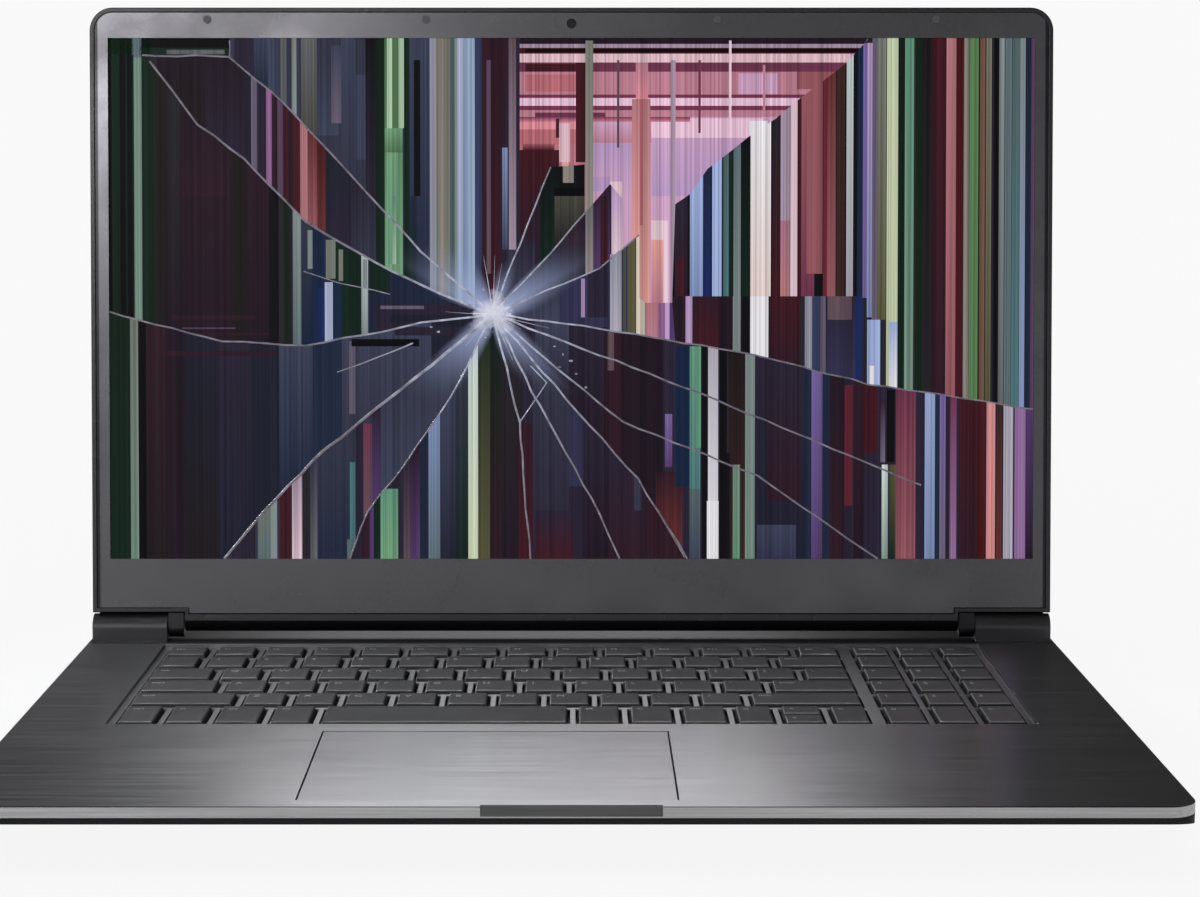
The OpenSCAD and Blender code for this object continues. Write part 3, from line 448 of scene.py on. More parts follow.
moulded("display_glass", (0.01, 0.01, 0.014), 0.2)

# the deck has painted shade behind the keys, and a thin dark line along its front edge
deck_metal = FINISHES["deck_metal"]
tree = deck_metal.node_tree
along = axis_of(tree, object_place(tree), "Y")
keys_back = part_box("keyboard_frame")[1].y
SHADE_BEHIND_KEYS, FRONT_LINE, BEZEL_LINE = 0.72, 0.7, 0.75
# painted shade on the deck behind the keys
darken(deck_metal, levels(tree, along, keys_back - 2 * MM, keys_back + 1 * MM, 0, SHADE_BEHIND_KEYS))
darken(deck_metal, levels(tree, along, FRONT + 0.9 * MM, FRONT + 1.8 * MM, FRONT_LINE, 0))

# the bezel has a dark line right along its outer side edges
bezel_paint = FINISHES["bezel_paint"]
tree = bezel_paint.node_tree
sideways = arithmetic(tree, "ABSOLUTE", axis_of(tree, object_place(tree), "X"))
bezel_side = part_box("screen_bezel")[1].x
darken(bezel_paint, levels(tree, sideways, bezel_side - 1.4 * MM, bezel_side - 0.9 * MM, 0, BEZEL_LINE))

for name, gloss in (("barrel_shade", 0.05), ("key_plastic", 0.3), ("key_edge_highlight", 0.3), ("cover_plastic", 0.12)):
    shader_of(FINISHES[name]).inputs["Specular IOR Level"].default_value = gloss

slot_of_node = {n: nodes[n].data.materials[0].name for n in nodes}
for node, slot in slot_of_node.items():
    paint(nodes[node], FINISHES[slot])
paint(nodes["lid_bumpers"], FINISHES["bumper_grey"])


# ---------- display: one pane, which carries the faulty picture in its broken fields ----------

LAP = 2 * MM
LIT_WIDE, LIT_HIGH = 382.1, 214.9
IMPACT = (158.6, 101.3)
pane_low, pane_high = lid_box("lcd_glass")
PICTURE = LID @ Matrix.Translation((pane_low.x + LAP, pane_low.y, pane_low.z + LAP))

COLOURS = {
    "night": (0.06, 0.06, 0.08), "black": (0.03, 0.03, 0.04), "moss": (0.07, 0.14, 0.09),
    "mint": (0.47, 0.58, 0.52), "plum": (0.14, 0.09, 0.14), "umber": (0.13, 0.10, 0.11),
    "mauve_grey": (0.42, 0.38, 0.47), "orchid": (0.58, 0.38, 0.58), "dim_mauve": (0.36, 0.26, 0.38),
    "maroon": (0.28, 0.09, 0.13), "salmon_pink": (0.74, 0.47, 0.50), "red_brown": (0.42, 0.18, 0.18),
    "oxblood": (0.30, 0.08, 0.08), "blue_black": (0.12, 0.13, 0.20), "slate": (0.21, 0.22, 0.30),
    "grey": (0.40, 0.41, 0.42), "sage": (0.48, 0.50, 0.46), "olive_grey": (0.30, 0.30, 0.27),
    "storm": (0.25, 0.27, 0.37), "teal_grey": (0.38, 0.46, 0.48), "deep_blue": (0.08, 0.15, 0.27),
    "lavender_white": (0.68, 0.71, 0.84), "pine": (0.07, 0.16, 0.12), "mist": (0.52, 0.57, 0.57),
    "green": (0.47, 0.68, 0.51), "pale_green": (0.70, 0.83, 0.68), "fern": (0.34, 0.50, 0.34),
    "navy": (0.12, 0.16, 0.26), "lavender_grey": (0.57, 0.58, 0.65), "khaki": (0.52, 0.50, 0.45),
    "sea": (0.34, 0.42, 0.43), "sky": (0.60, 0.68, 0.80), "indigo": (0.20, 0.24, 0.38),
    "wine": (0.20, 0.10, 0.15), "heather": (0.40, 0.31, 0.35), "pink_grey": (0.66, 0.57, 0.66),
    "blush": (0.92, 0.75, 0.80), "bright_pink": (0.96, 0.78, 0.88), "rose": (0.78, 0.50, 0.58),
    "deep_rose": (0.50, 0.20, 0.32), "hot_pink": (0.86, 0.48, 0.58), "coral": (0.94, 0.56, 0.62),
    "salmon": (0.78, 0.42, 0.46), "peach": (0.95, 0.64, 0.61), "orchid_pink": (0.84, 0.64, 0.79),
    "beige": (0.58, 0.54, 0.51), "cream": (0.87, 0.82, 0.74), "olive": (0.36, 0.35, 0.23),
    "lilac": (0.74, 0.60, 0.80), "steel_blue": (0.50, 0.58, 0.77), "royal": (0.10, 0.16, 0.40),
    "light_blue": (0.64, 0.72, 0.92), "white": (0.96, 0.95, 0.97), "warm_white": (0.95, 0.86, 0.84),
    "brick": (0.62, 0.34, 0.38), "earth": (0.24, 0.15, 0.13), "pale_mint": (0.78, 0.83, 0.82),
    "lime": (0.81, 0.86, 0.70), "leaf": (0.38, 0.56, 0.35), "rust": (0.47, 0.33, 0.27),
    "teal": (0.30, 0.50, 0.52), "purple": (0.34, 0.23, 0.44), "violet": (0.46, 0.38, 0.64),
    "jade": (0.38, 0.62, 0.50), "magenta": (0.46, 0.20, 0.31), "dull_red": (0.44, 0.14, 0.20),
    "pale_pink": (0.92, 0.79, 0.84), "signal_pink": (0.88, 0.56, 0.56), "dusk": (0.17, 0.14, 0.22),
    "charcoal": (0.16, 0.15, 0.17), "blue_dusk": (0.20, 0.20, 0.33), "grape": (0.58, 0.42, 0.63),
    "silver": (0.70, 0.68, 0.74),
}

# crack lines from the point of impact outwards, in mm from the lower left of the lit area
CRACKS = {
    "upper_left": ((144.5, 106.5), (109.5, 122.5), (81, 139.5), (56, 165), (37, 179.5), (17, 205.5)),
    "top_left": ((129, 127), (97, 162), (71.5, 189), (50, 207.5), (14, 208)),
    "left": ((129, 98), (113, 94), (81, 88.5), (46.5, 90), (11.5, 99), (0, 102.3)),
    "lower_left": ((133, 80), (89, 45.5), (68.5, 25), (47, 0)),
    "down_left": ((141, 67), (117.5, 33), (106.5, 20), (99, 0)),
    "down": ((169.5, 56.5), (174, 0)),
    "down_right": ((178, 63), (203, 18.5), (211, 0)),
    "lower_right": ((189, 66), (218.5, 33), (239, 0)),
    "right_low": ((212.5, 56.5), (268, 34.5), (318, 0)),
    "right_middle": ((203, 84.5), (250.5, 66), (291.5, 49), (336, 30.5)),
    "right": ((203, 95.5), (266, 84.5), (314, 72.5), (382.1, 62)),
    "up_right": ((203, 120.5), (219, 134)),
    "up": ((169.7, 130), (182.5, 162)),
    "up_steep": ((182, 126), (196.5, 143)),
}
LADDER = ((80.3, 119), (95, 114.2), (116, 109.5))
SPLINTER = ((94, 77.3), (113, 84.3), (125.4, 89.3))
STAIRS = ((233.9, 146.7), (240.1, 150.9), (247.2, 161.2), (255.4, 167.4), (264.1, 174.4), (275.3, 181.9),
          (285.2, 190.1), (304.3, 204.6), (313.8, 214.9))

MUTING = 0.12
OUT = 9  # mm past the lit area, so that a bar reaches over all of a shard


def screen_colour(name):
    """A named display colour as light, from its shade on a screen, taken a little towards grey."""
    grey = sum(COLOURS[name]) / 3
    muted = [(1 - MUTING) * c + MUTING * grey for c in COLOURS[name]]
    return [((c + 0.055) / 1.055) ** 2.4 if c > 0.04 else c / 12.92 for c in muted] + [1.0]


def choose(piece, left, right, low, high):
    """Selects the piece's faces whose middle lies between these limits, in mm."""
    bpy.ops.mesh.select_all(action="DESELECT")
    edit = bmesh.from_edit_mesh(piece.data)
    chosen = []
    for face in edit.faces:
        middle = face.calc_center_bounds() / MM
        if left < middle.x < right and low < middle.z < high:
            face.select_set(True)
            chosen.append(face)
    bmesh.update_edit_mesh(piece.data)
    return edit, chosen


def shard(outline, ground, *bars):
    """One shard of the display, filled with its ground colour and the bars that show on it.

    A bar is (colour, left, right) or (colour, left, right, low, high), in mm. Two colours joined
    by a slash run from the first at the bar's low end to the second at its high end.
    """
    mesh = bpy.data.meshes.new("shard")
    count = len(outline)
    rim = [(i, (i + 1) % count) for i in range(count)]
    mesh.from_pydata([(u * MM, 0, w * MM) for u, w in outline], rim, [])
    piece = new_object("shard", mesh)
    edit_all(piece)
    bpy.ops.mesh.edge_face_add()
    edit = bmesh.from_edit_mesh(mesh)
    edit.faces.ensure_lookup_table()
    edit.faces[0].normal_update()
    if edit.faces[0].normal.y > 0:
        bpy.ops.mesh.flip_normals()
    edit = bmesh.from_edit_mesh(mesh)
    edit.loops.layers.float_color.new("picture")
    full = (-OUT, LIT_HIGH + OUT)
    bars = [b if len(b) == 5 else (*b, *full) for b in ((ground, -OUT, LIT_WIDE + OUT), *bars)]
    for side in sorted({edge for bar in bars[1:] for edge in bar[1:3]}):
        bpy.ops.mesh.select_all(action="SELECT")
        bpy.ops.mesh.bisect(plane_co=(side * MM, 0, 0), plane_no=(1, 0, 0))
    for _, left, right, low, high in bars:
        for level in (low, high):
            if 0 < level < LIT_HIGH:
                choose(piece, left, right, *full)
                bpy.ops.mesh.bisect(plane_co=(0, 0, level * MM), plane_no=(0, 0, 1))
    for colour, left, right, low, high in bars:
        edit, chosen = choose(piece, left, right, low, high)
        layer = edit.loops.layers.float_color["picture"]
        ends = [Vector(screen_colour(c)) for c in colour.split("/")]
        if not chosen:
            continue
        bottom = min(v.co.z for f in chosen for v in f.verts)
        top = max(v.co.z for f in chosen for v in f.verts)
        for face in chosen:
            for loop in face.loops:
                rise = (loop.vert.co.z - bottom) / max(top - bottom, 1e-6)
                loop[layer] = ends[0].lerp(ends[-1], rise)
    object_mode()
    return piece


def between(first, corners, second):
    """The outline that runs out along one crack, round the given corners and back along another."""
    return [IMPACT, *CRACKS[first], *corners, *reversed(CRACKS[second])]


shards = [
    # far left column and the dark field beside it
    shard([(0, 102.3), (11.5, 99), (17, 97.4), (17, 214.9), (0, 214.9)], "moss/pine",
          ("black", 0, 1.2), ("black", 4.5, 7), ("black", 7.6, 9.6), ("mint", 10.4, 13.6),
          ("teal_grey", 10.4, 13.6, 207, 215), ("pine", 14, 17)),
    shard([(17, 97.4), (46.5, 90), (75.8, 88.7), (75.8, 144.8), (56, 165), (37, 179.5),
           (17, 205.5)], "plum/wine",
          ("umber", 17, 24), ("moss", 17, 19), ("plum/charcoal", 24, 30), ("umber", 50, 57),
          ("wine/plum", 30, 50, 150, 205), ("night", 66, 70), ("charcoal", 70, 75.8), ("moss", 72.6, 74.2),
          ("wine", 26, 60, 99, 101), ("dim_mauve", 30, 52, 95.2, 95.8), ("wine", 22, 66, 92.6, 93.6)),
    shard([(0, 0), (47, 0), (68.5, 25), (89, 45.5), (133, 80), IMPACT, (129, 98), (113, 94), (81, 88.5),
           (46.5, 90), (11.5, 99), (0, 102.3)], "blue_black",
          ("pine/moss", 0, 8.4), ("mint/sage", 8.4, 11.7), ("black", 11.7, 15), ("umber/wine", 15, 24),
          ("plum", 24, 31), ("umber/blue_black", 31, 44), ("blue_black/dusk", 44, 58),
          ("navy/storm", 70, 84), ("navy", 84, 96), ("slate/storm", 96, 133, 50, 102),
          ("mauve_grey", 99, 101.5, 60, 90), ("black", 100, 128, 88, 91), ("dusk", 118, 146, 92.5, 96),
          ("wine", 20, 70, 84, 86)),
    # wedges on the upper left
    shard([(17, 205.5), (37, 179.5), (56, 165), (81, 139.5), (109.5, 122.5), (110.2, 122.2), (110.2, 147.2),
           (97, 162), (71.5, 189), (50, 207.5), (14, 208)], "plum/charcoal",
          ("umber/plum", 20, 40), ("dusk/plum", 40, 57), ("blue_black", 56, 58.6),
          ("mauve_grey", 58.8, 61.3), ("dusk", 61.3, 64.8), ("orchid", 65, 67.3), ("wine", 67.3, 69.4),
          ("dim_mauve", 69.6, 72), ("maroon", 72, 74), ("wine", 74, 76), ("maroon", 76, 78.7),
          ("salmon_pink", 79, 82), ("brick/red_brown", 82, 86), ("red_brown/oxblood", 86, 89.4),
          ("dusk/blue_black", 89.4, 100), ("slate/dusk", 100, 110.2)),
    shard([(0.1, 214.9), (0.1, 208.6), (14, 208), (50, 207.5), (50, 214.9)], "pine",
          ("moss", 0, 9), ("teal_grey", 9.8, 12.6), ("black", 14, 50, 211, 215),
          ("grey", 24, 48, 208.4, 210.2)),
    shard([(50, 214.9), (50, 207.5), (71.5, 189), (97, 162), (110.2, 147.2), (110.2, 214.9)], "slate",
          ("dusk", 52, 60), ("navy/storm", 60, 66), ("storm", 66, 70), ("grey", 71, 73.4),
          ("slate", 73.4, 75.6), ("mist/sage", 75.6, 77.6), ("olive_grey/grey", 79.5, 86),
          ("storm/slate", 86, 95, 175, 205), ("mauve_grey/storm", 92, 96, 180, 212),
          ("slate/storm", 96, 102), ("storm", 102, 106, 165, 200), ("dusk/night", 106, 110.2)),
    shard([(75.8, 88.7), (81, 88.5), (113, 94), (129, 98), IMPACT, (144.5, 106.5), (109.5, 122.5),
           (81, 139.5),
           (75.8, 144.8)], "navy",
          ("teal_grey/mist", 75.8, 79.3), ("deep_blue/slate", 79.5, 84), ("deep_blue", 84, 89),
          ("royal", 86.4, 88.8, 88, 112), ("lavender_white", 89, 92.3, 88, 114.5), ("pine", 92.5, 104),
          ("deep_blue", 92.5, 96, 88, 114), ("mist/pale_mint", 104.2, 106.9),
          ("sage", 89.5, 93.5, 116, 132), ("mist", 82, 84, 120, 136), ("sage", 94.8, 96.6, 115, 128),
          ("mist", 104.8, 106.6, 112, 124), ("pine", 107.4, 116, 110, 124), ("dusk", 110, 150, 95, 106),
          ("blue_black", 116, 150, 98, 101), ("mauve_grey", 112, 130, 103.4, 104.8)),
    # upright bars above the point of impact
    shard([(110.2, 122.2), (144.5, 106.5), IMPACT, (169.7, 130), (169.7, 214.9), (110.2, 214.9)], "slate",
          ("pine/moss", 110.2, 113.9), ("green/fern", 113.9, 121.3), ("jade/green", 115, 119.5, 122, 168),
          ("pale_green", 115, 117.1, 178, 215), ("pale_green", 119.6, 122, 178, 215),
          ("fern", 117.1, 119.6, 178, 215), ("fern/green", 113.9, 121.3, 168, 178),
          ("pale_green/jade", 117, 118.6, 122, 150), ("pine", 121.9, 124.2), ("navy/storm", 124.2, 132.5),
          ("night", 126, 128.6, 150, 206), ("pine/navy", 124.4, 127, 110, 150),
          ("lavender_grey", 132.5, 135), ("sage/khaki", 135, 140.8), ("beige/khaki", 136.4, 138.8),
          ("sea", 140.8, 142.9), ("mist", 142.9, 143.9), ("sky/lavender_white", 143.9, 146.4),
          ("steel_blue/sky", 146.4, 148.6), ("sky", 148.6, 151.1), ("indigo", 151.1, 154),
          ("wine", 154, 161.5), ("heather/dim_mauve", 156, 157.8, 118, 206), ("maroon/wine", 158, 161.5),
          ("dusk/wine", 161.5, 165), ("pink_grey/heather", 165.2, 168.2, 128, 215),
          ("storm/steel_blue", 162.4, 164.6, 128, 170), ("dusk", 168.2, 169.7)),
    # the pink glare
    shard([(169.7, 130), (182.5, 162), (196.5, 163), (196.5, 143), (207, 155), (212, 149), (212.4, 128.4),
           (219, 134),
           (219, 108), (221.5, 106), (229.8, 106), (232.7, 106), (233.9, 146.7),
           *STAIRS[1:], (169.7, 214.9)], "orchid_pink",
          ("rose/salmon", 169.7, 200, 140, 182), ("wine/maroon", 169.7, 186, 120, 169),
          ("maroon/salmon", 171, 184, 169, 173), ("orchid_pink/lilac", 200, 216, 149, 172),
          ("rose/orchid_pink", 200, 235, 172, 180), ("lilac/orchid_pink", 224, 262, 150, 183),
          ("bright_pink", 224, 270, 174, 182), ("orchid_pink/bright_pink", 236, 290, 183, 190),
          ("salmon", 169.7, 196, 171.5, 177.5), ("coral", 169.7, 196, 177.5, 180.6),
          ("hot_pink/deep_rose", 169.7, 240, 180.6, 182.6), ("rose", 169.7, 290, 182.6, 185.4),
          ("magenta", 176, 205, 182.6, 184.4), ("deep_rose", 169.7, 300, 185.4, 187.2),
          ("bright_pink", 169.7, 292, 187.2, 190.4), ("deep_rose", 169.7, 300, 190.4, 191.8),
          ("rose", 169.7, 310, 191.8, 201.2), ("salmon", 172, 196, 193, 200),
          ("orchid_pink", 260, 276, 192, 200.5), ("brick", 284, 300, 194, 204),
          ("magenta", 169.7, 312, 201.2, 205), ("maroon", 172, 198, 201.2, 204.4),
          ("blush", 169.7, 306, 205, 208.6), ("maroon", 169.7, 316, 208.6, 211),
          ("black", 172, 316, 209.2, 210.6), ("pink_grey", 169.7, 316, 211, 212.6),
          ("plum", 169.7, 316, 212.6, 215), ("maroon", 192.8, 196.8, 164, 205),
          ("beige/sage", 196.8, 200, 120, 214), ("peach/salmon_pink", 216, 223.6, 106, 190),
          ("salmon", 219.2, 220.6, 138, 200), ("coral/rose", 217.6, 222.6, 190, 205),
          ("lilac", 200, 207, 152, 158), ("pale_pink", 207, 212, 122, 156),
          ("pink_grey", 232, 234, 106, 206), ("heather", 209.8, 210.8, 170, 206),
          ("deep_rose", 243.4, 244.4, 176, 206), ("pale_pink", 256, 257, 176, 214),
          ("rose", 270, 271, 184, 204), ("blush", 186, 190.5, 164, 180), ("maroon", 184.6, 186, 174, 182),
          ("peach", 187, 190, 154, 164), ("pale_pink", 224, 231, 106, 140), ("white", 264.6, 272, 172, 181),
          ("rose/peach", 224, 229, 106, 132)),
    shard([IMPACT, (182, 126), (196.5, 143), (196.5, 163), (182.5, 162), (169.7, 130)], "night",
          ("dusk/wine", 169, 178), ("storm/dusk", 160, 176, 100, 132), ("pine/night", 178, 186),
          ("umber/olive_grey", 184, 196.8, 128, 152), ("beige", 187.5, 192, 155.5, 163),
          ("black", 184, 196.5, 150, 153.4)),
    shard([IMPACT, (203, 120.5), (219, 134), (212.4, 128.4), (212, 149), (207, 155), (196.5, 143),
           (182, 126)], "dusk",
          ("storm/dusk", 170, 186), ("slate/wine", 186, 196.8), ("beige/grey", 196.8, 200),
          ("purple/wine", 200, 207), ("maroon/wine", 203, 206, 118, 150),
          ("pale_pink/lilac", 207.6, 212.4, 112, 156), ("pink_grey", 207, 212.4, 100, 126)),
    # right of the point of impact, over the long crack to the right
    shard([IMPACT, (203, 95.5), (217.8, 92.9), (233.9, 90.1), (232.7, 106), (229.8, 106), (221.5, 106),
           (219, 108), (219, 134),
           (203, 120.5)], "blue_dusk",
          ("storm/slate", 168, 186), ("blue_dusk", 186, 190), ("lilac", 195, 196.6, 98, 116),
          ("dusk", 198, 206), ("silver/lavender_grey", 207, 211.8), ("olive_grey", 212.2, 213.6),
          ("olive", 214.2, 217.4), ("cream", 217.8, 221.4), ("rose/salmon_pink", 221.5, 227),
          ("orchid", 227, 229.8), ("lilac", 229.8, 231.6), ("purple", 231.6, 234),
          ("blue_dusk", 186, 206, 96, 100)),
    shard([(232.7, 106), (233.9, 90.1), (266, 84.5), (311.4, 73.2), (311.4, 108.7), (232.7, 108.7)], "wine",
          ("plum", 232.7, 237), ("lilac", 238.2, 241, 86, 109), ("maroon/wine", 242, 252),
          ("plum", 252, 257.8), ("mist", 257.9, 261), ("night", 261.4, 264.6), ("white", 265, 272.5),
          ("wine/maroon", 273.6, 285.4), ("charcoal", 285.6, 287.6), ("lavender_grey", 287.7, 290.6),
          ("indigo", 290.8, 293.8), ("mauve_grey", 294, 296.2), ("blue_dusk/dusk", 296.4, 311.4),
          ("heather", 297, 307, 99, 108.7), ("royal", 308.6, 311.4)),
    shard([(232.7, 108.7), (311.4, 108.7), (311.4, 212.3), *reversed(STAIRS[:-1])], "night",
          ("wine/dusk", 233.8, 239), ("maroon", 234.8, 237.4, 108, 125),
          ("steel_blue/light_blue", 240, 245.4), ("royal/navy", 245.8, 249), ("light_blue", 249.2, 253.2),
          ("teal/sea", 253.8, 256), ("pine", 256, 257.8), ("mist/teal_grey", 258, 261),
          ("pine/night", 261.4, 264.8), ("warm_white/white", 265, 273.4), ("maroon/charcoal", 274, 277.2),
          ("salmon_pink/orchid", 277.4, 281.4), ("pink_grey", 277.4, 281.4, 140, 190),
          ("pale_pink", 281.5, 284.4), ("maroon", 284.4, 286), ("magenta/brick", 286, 291.4),
          ("brick", 288, 294.8, 118, 200), ("dull_red", 295, 296.6), ("brick/red_brown", 296.6, 300.2),
          ("earth", 300.6, 304), ("silver/pale_mint", 304.6, 307.4), ("night", 308, 309),
          ("navy/deep_blue", 309, 313)),
    # the long upright bars on the right
    shard([(311.4, 73.2), (314, 72.5), (382.1, 62), (382.1, 214.9), (313.8, 214.9),
           (311.4, 212.3)], "charcoal",
          ("violet", 311.4, 315, 108, 213), ("steel_blue/lilac", 313.2, 315.2, 100, 213),
          ("mauve_grey", 315.2, 317.4), ("light_blue", 313.4, 318.8, 70, 99),
          ("white", 314.4, 316.4, 70, 80), ("olive/sage", 317.5, 321, 99, 215), ("lime", 321.3, 325.9),
          ("white/light_blue", 322.4, 325.9, 68, 98), ("pine/moss", 326, 328.4),
          ("mint/jade", 328.7, 332.4), ("moss", 333.2, 336), ("charcoal/umber", 336, 340),
          ("wine/maroon", 340, 345.6), ("brick/salmon_pink", 345.8, 349.8),
          ("maroon/oxblood", 349.8, 352.8), ("beige/khaki", 353, 355.2), ("leaf", 355.4, 359),
          ("pine", 359, 359.6), ("rust", 359.6, 361.8), ("olive/khaki", 362.2, 364.4),
          ("night", 365.4, 367.4), ("grey/mist", 367.6, 369.8), ("teal_grey", 370, 372.8),
          ("teal/sea", 373, 376), ("steel_blue/mist", 376.2, 378.4), ("navy", 378.8, 380.6),
          ("dim_mauve", 380.8, 382.1)),
    # under the long crack to the right
    shard(between("lower_right", [(382.1, 0)], "right"), "dusk",
          ("plum/dusk", 190, 212), ("dusk/storm", 176, 190, 70, 102), ("wine", 205, 212, 40, 95),
          ("heather", 206, 208.6, 78, 94), ("plum", 212, 229), ("red_brown/wine", 226, 237, 0, 36),
          ("purple/violet", 229.8, 232.8, 38, 60), ("deep_blue", 234, 240, 30, 88),
          ("teal/jade", 240, 244.4, 29, 88), ("storm/sea", 240, 244.4, 0, 29),
          ("jade", 242.6, 244.6, 46, 88), ("night", 245, 247.4), ("white/silver", 247.6, 251.8),
          ("white", 247.2, 252, 0, 24), ("night", 252.4, 255.4), ("earth/umber", 255.8, 262.8),
          ("night", 252.6, 256.6, 0, 44), ("jade/mint", 257.9, 260.9, 0, 39), ("mint/mist", 263, 267),
          ("blue_black/dusk", 267.4, 288), ("wine/dusk", 272, 286, 24, 78), ("navy", 287.6, 298),
          ("purple/violet", 290.4, 295), ("wine/plum", 298, 304), ("dull_red", 304.2, 307.4, 22, 72),
          ("plum/wine", 308, 312), ("maroon", 312, 318, 44, 72), ("mauve_grey/wine", 319, 321, 40, 66),
          ("night", 321.6, 325, 40, 70), ("mint/pale_mint", 319.6, 322.2, 0, 39),
          ("pine/olive", 322.8, 325.6, 0, 39), ("brick/magenta", 325.4, 333.6), ("dusk", 333.8, 337),
          ("steel_blue/light_blue", 337.4, 341.6), ("navy", 341.6, 343.4),
          ("mauve_grey/violet", 343.6, 346), ("grape/magenta", 347.8, 350.6), ("wine/maroon", 351.6, 362.4),
          ("oxblood/maroon", 359.4, 362.4), ("signal_pink", 363, 366.6), ("red_brown/earth", 367.2, 369.4),
          ("silver", 370, 374), ("grape", 374.6, 379.2), ("plum/purple", 379.4, 382.1),
          ("blue_dusk/storm", 268, 284, 0, 14)),
    # below the point of impact
    shard(between("down_left", [(239, 0)], "lower_right"), "dusk",
          ("wine", 104, 107), ("purple", 107.4, 111, 0, 25), ("pine", 109, 111.6, 0, 30),
          ("green/jade", 111.8, 119.2, 0, 29), ("heather/dusk", 121.4, 124.2),
          ("purple/plum", 124.2, 128.2, 0, 60), ("navy", 128.4, 131.6),
          ("teal_grey/steel_blue", 131.8, 136.6), ("blue_black/storm", 136.8, 143),
          ("pine/slate", 143, 148), ("lime/pale_mint", 148.3, 152.3, 0, 90), ("olive/pine", 152.5, 157.2),
          ("wine/pine", 157.2, 162), ("plum/charcoal", 162, 170), ("maroon/wine", 169, 175, 0, 56),
          ("dusk/slate", 175, 190), ("maroon/dusk", 176, 192, 0, 20), ("blue_dusk", 190, 196, 30, 66),
          ("plum/dusk", 196, 206), ("wine/dusk", 206, 222), ("slate", 217, 220, 20, 50),
          ("wine", 222, 239)),
    shard(between("lower_left", [(99, 0)], "down_left"), "slate",
          ("dusk", 50, 60), ("teal_grey/sage", 61, 69), ("mist", 66.4, 69, 0, 24), ("maroon", 70.2, 74.6),
          ("wine", 72, 73), ("pale_pink/pink_grey", 75.2, 79.4, 0, 36), ("charcoal", 79.6, 82.6),
          ("grey/slate", 82.8, 85.6, 0, 44), ("navy/slate", 86, 99), ("teal", 99.2, 101.4, 0, 40),
          ("sea", 98, 100.4, 0, 8), ("dusk", 101.6, 104.6), ("heather/magenta", 104.8, 108.4, 0, 56),
          ("purple/dusk", 108.4, 112), ("storm/slate", 112, 141)),
]
pane = join("display_glass", shards)
edit_all(pane)
bpy.ops.mesh.remove_doubles(threshold=1e-6)
object_mode()
thick = pane.modifiers.new("thick", "SOLIDIFY")
thick.thickness = pane_high.y - pane_low.y
thick.offset = -1
bpy.ops.object.modifier_apply(modifier="thick")

# the pane's rim runs on under the bezel
NEAR_RIM = 0.2 * MM
UNDER_BEZEL = LAP * 0.9
for vertex in pane.data.vertices:
    for axis, edge in ((0, LIT_WIDE * MM), (2, LIT_HIGH * MM)):
        if vertex.co[axis] < NEAR_RIM:
            vertex.co[axis] = -UNDER_BEZEL
        elif vertex.co[axis] > edge - NEAR_RIM:
            vertex.co[axis] = edge + UNDER_BEZEL
pane.data.transform(PICTURE)


# ---------- crack lines, splinters and chips on the glass ----------

chance = random.Random(17)
CRACK_STEP = 7  # mm between the points of a crack
CRACK_THICK = 0.5 * MM
NEEDLES = 20
CHIPS = 46


def crack_line(path, width_start, width_end, stray=0.35):
    """A thin raised edge of broken glass along a path in mm, thinner towards its end."""
    points = []
    for (u, w), (u_next, w_next) in zip(path, path[1:]):
        steps = max(2, int(math.dist((u, w), (u_next, w_next)) / CRACK_STEP))
        points += [(u + (u_next - u) * i / steps, w + (w_next - w) * i / steps) for i in range(steps)]
    points.append(path[-1])
    curve = bpy.data.curves.new("crack", "CURVE")
    curve.dimensions = "3D"
    curve.bevel_depth = CRACK_THICK
    curve.bevel_resolution = 1
    curve.use_fill_caps = True
    spline = curve.splines.new("POLY")
    spline.points.add(len(points) - 1)
    for i, (u, w) in enumerate(points):
        loose = stray if 0 < i < len(points) - 1 else 0
        across = u + chance.uniform(-loose, loose)
        up = w + chance.uniform(-loose, loose)
        spline.points[i].co = (across * MM, 0, up * MM, 1)
        along = i / (len(points) - 1)
        spline.points[i].radius = width_start + (width_end - width_start) * along ** 0.7
    take(new_object("crack", curve))
    bpy.ops.object.convert(target="MESH")
    return bpy.context.object


def outward(angle, start, length):
    """The two ends of a straight line away from the point of impact, in mm."""
    du, dw = math.cos(angle), math.sin(angle)
    return [(IMPACT[0] + du * start, IMPACT[1] + dw * start),
            (IMPACT[0] + du * (start + length), IMPACT[1] + dw * (start + length))]


WIDE_CRACKS = {"lower_left": 1.25, "upper_left": 0.95, "top_left": 0.85, "down": 0.85, "down_right": 0.85,
               "lower_right": 0.85, "right_low": 0.8, "right_middle": 0.8, "right": 0.7, "left": 0.8}
lines = []
for name, points in CRACKS.items():
    wide = WIDE_CRACKS.get(name, 0.7)
    lines.append(crack_line([IMPACT, *points], 1.2 * wide, wide))
lines.append(crack_line(LADDER, 0.55, 0.5))
lines.append(crack_line(SPLINTER, 0.5, 0.75))
lines.append(crack_line(((174, 80), (181, 73), (169.5, 56.5)), 0.6, 0.6))
lines.append(crack_line(((50, 214), (50, 207.5)), 0.6, 0.6))
for _ in range(NEEDLES):
    angle = chance.uniform(0, 2 * math.pi)
    lines.append(crack_line(outward(angle, 1, chance.uniform(7, 24)), chance.uniform(0.5, 1.1), 0.08, 0.25))
crack_lines = join("crack_lines", lines)
crack_lines.data.transform(PICTURE)

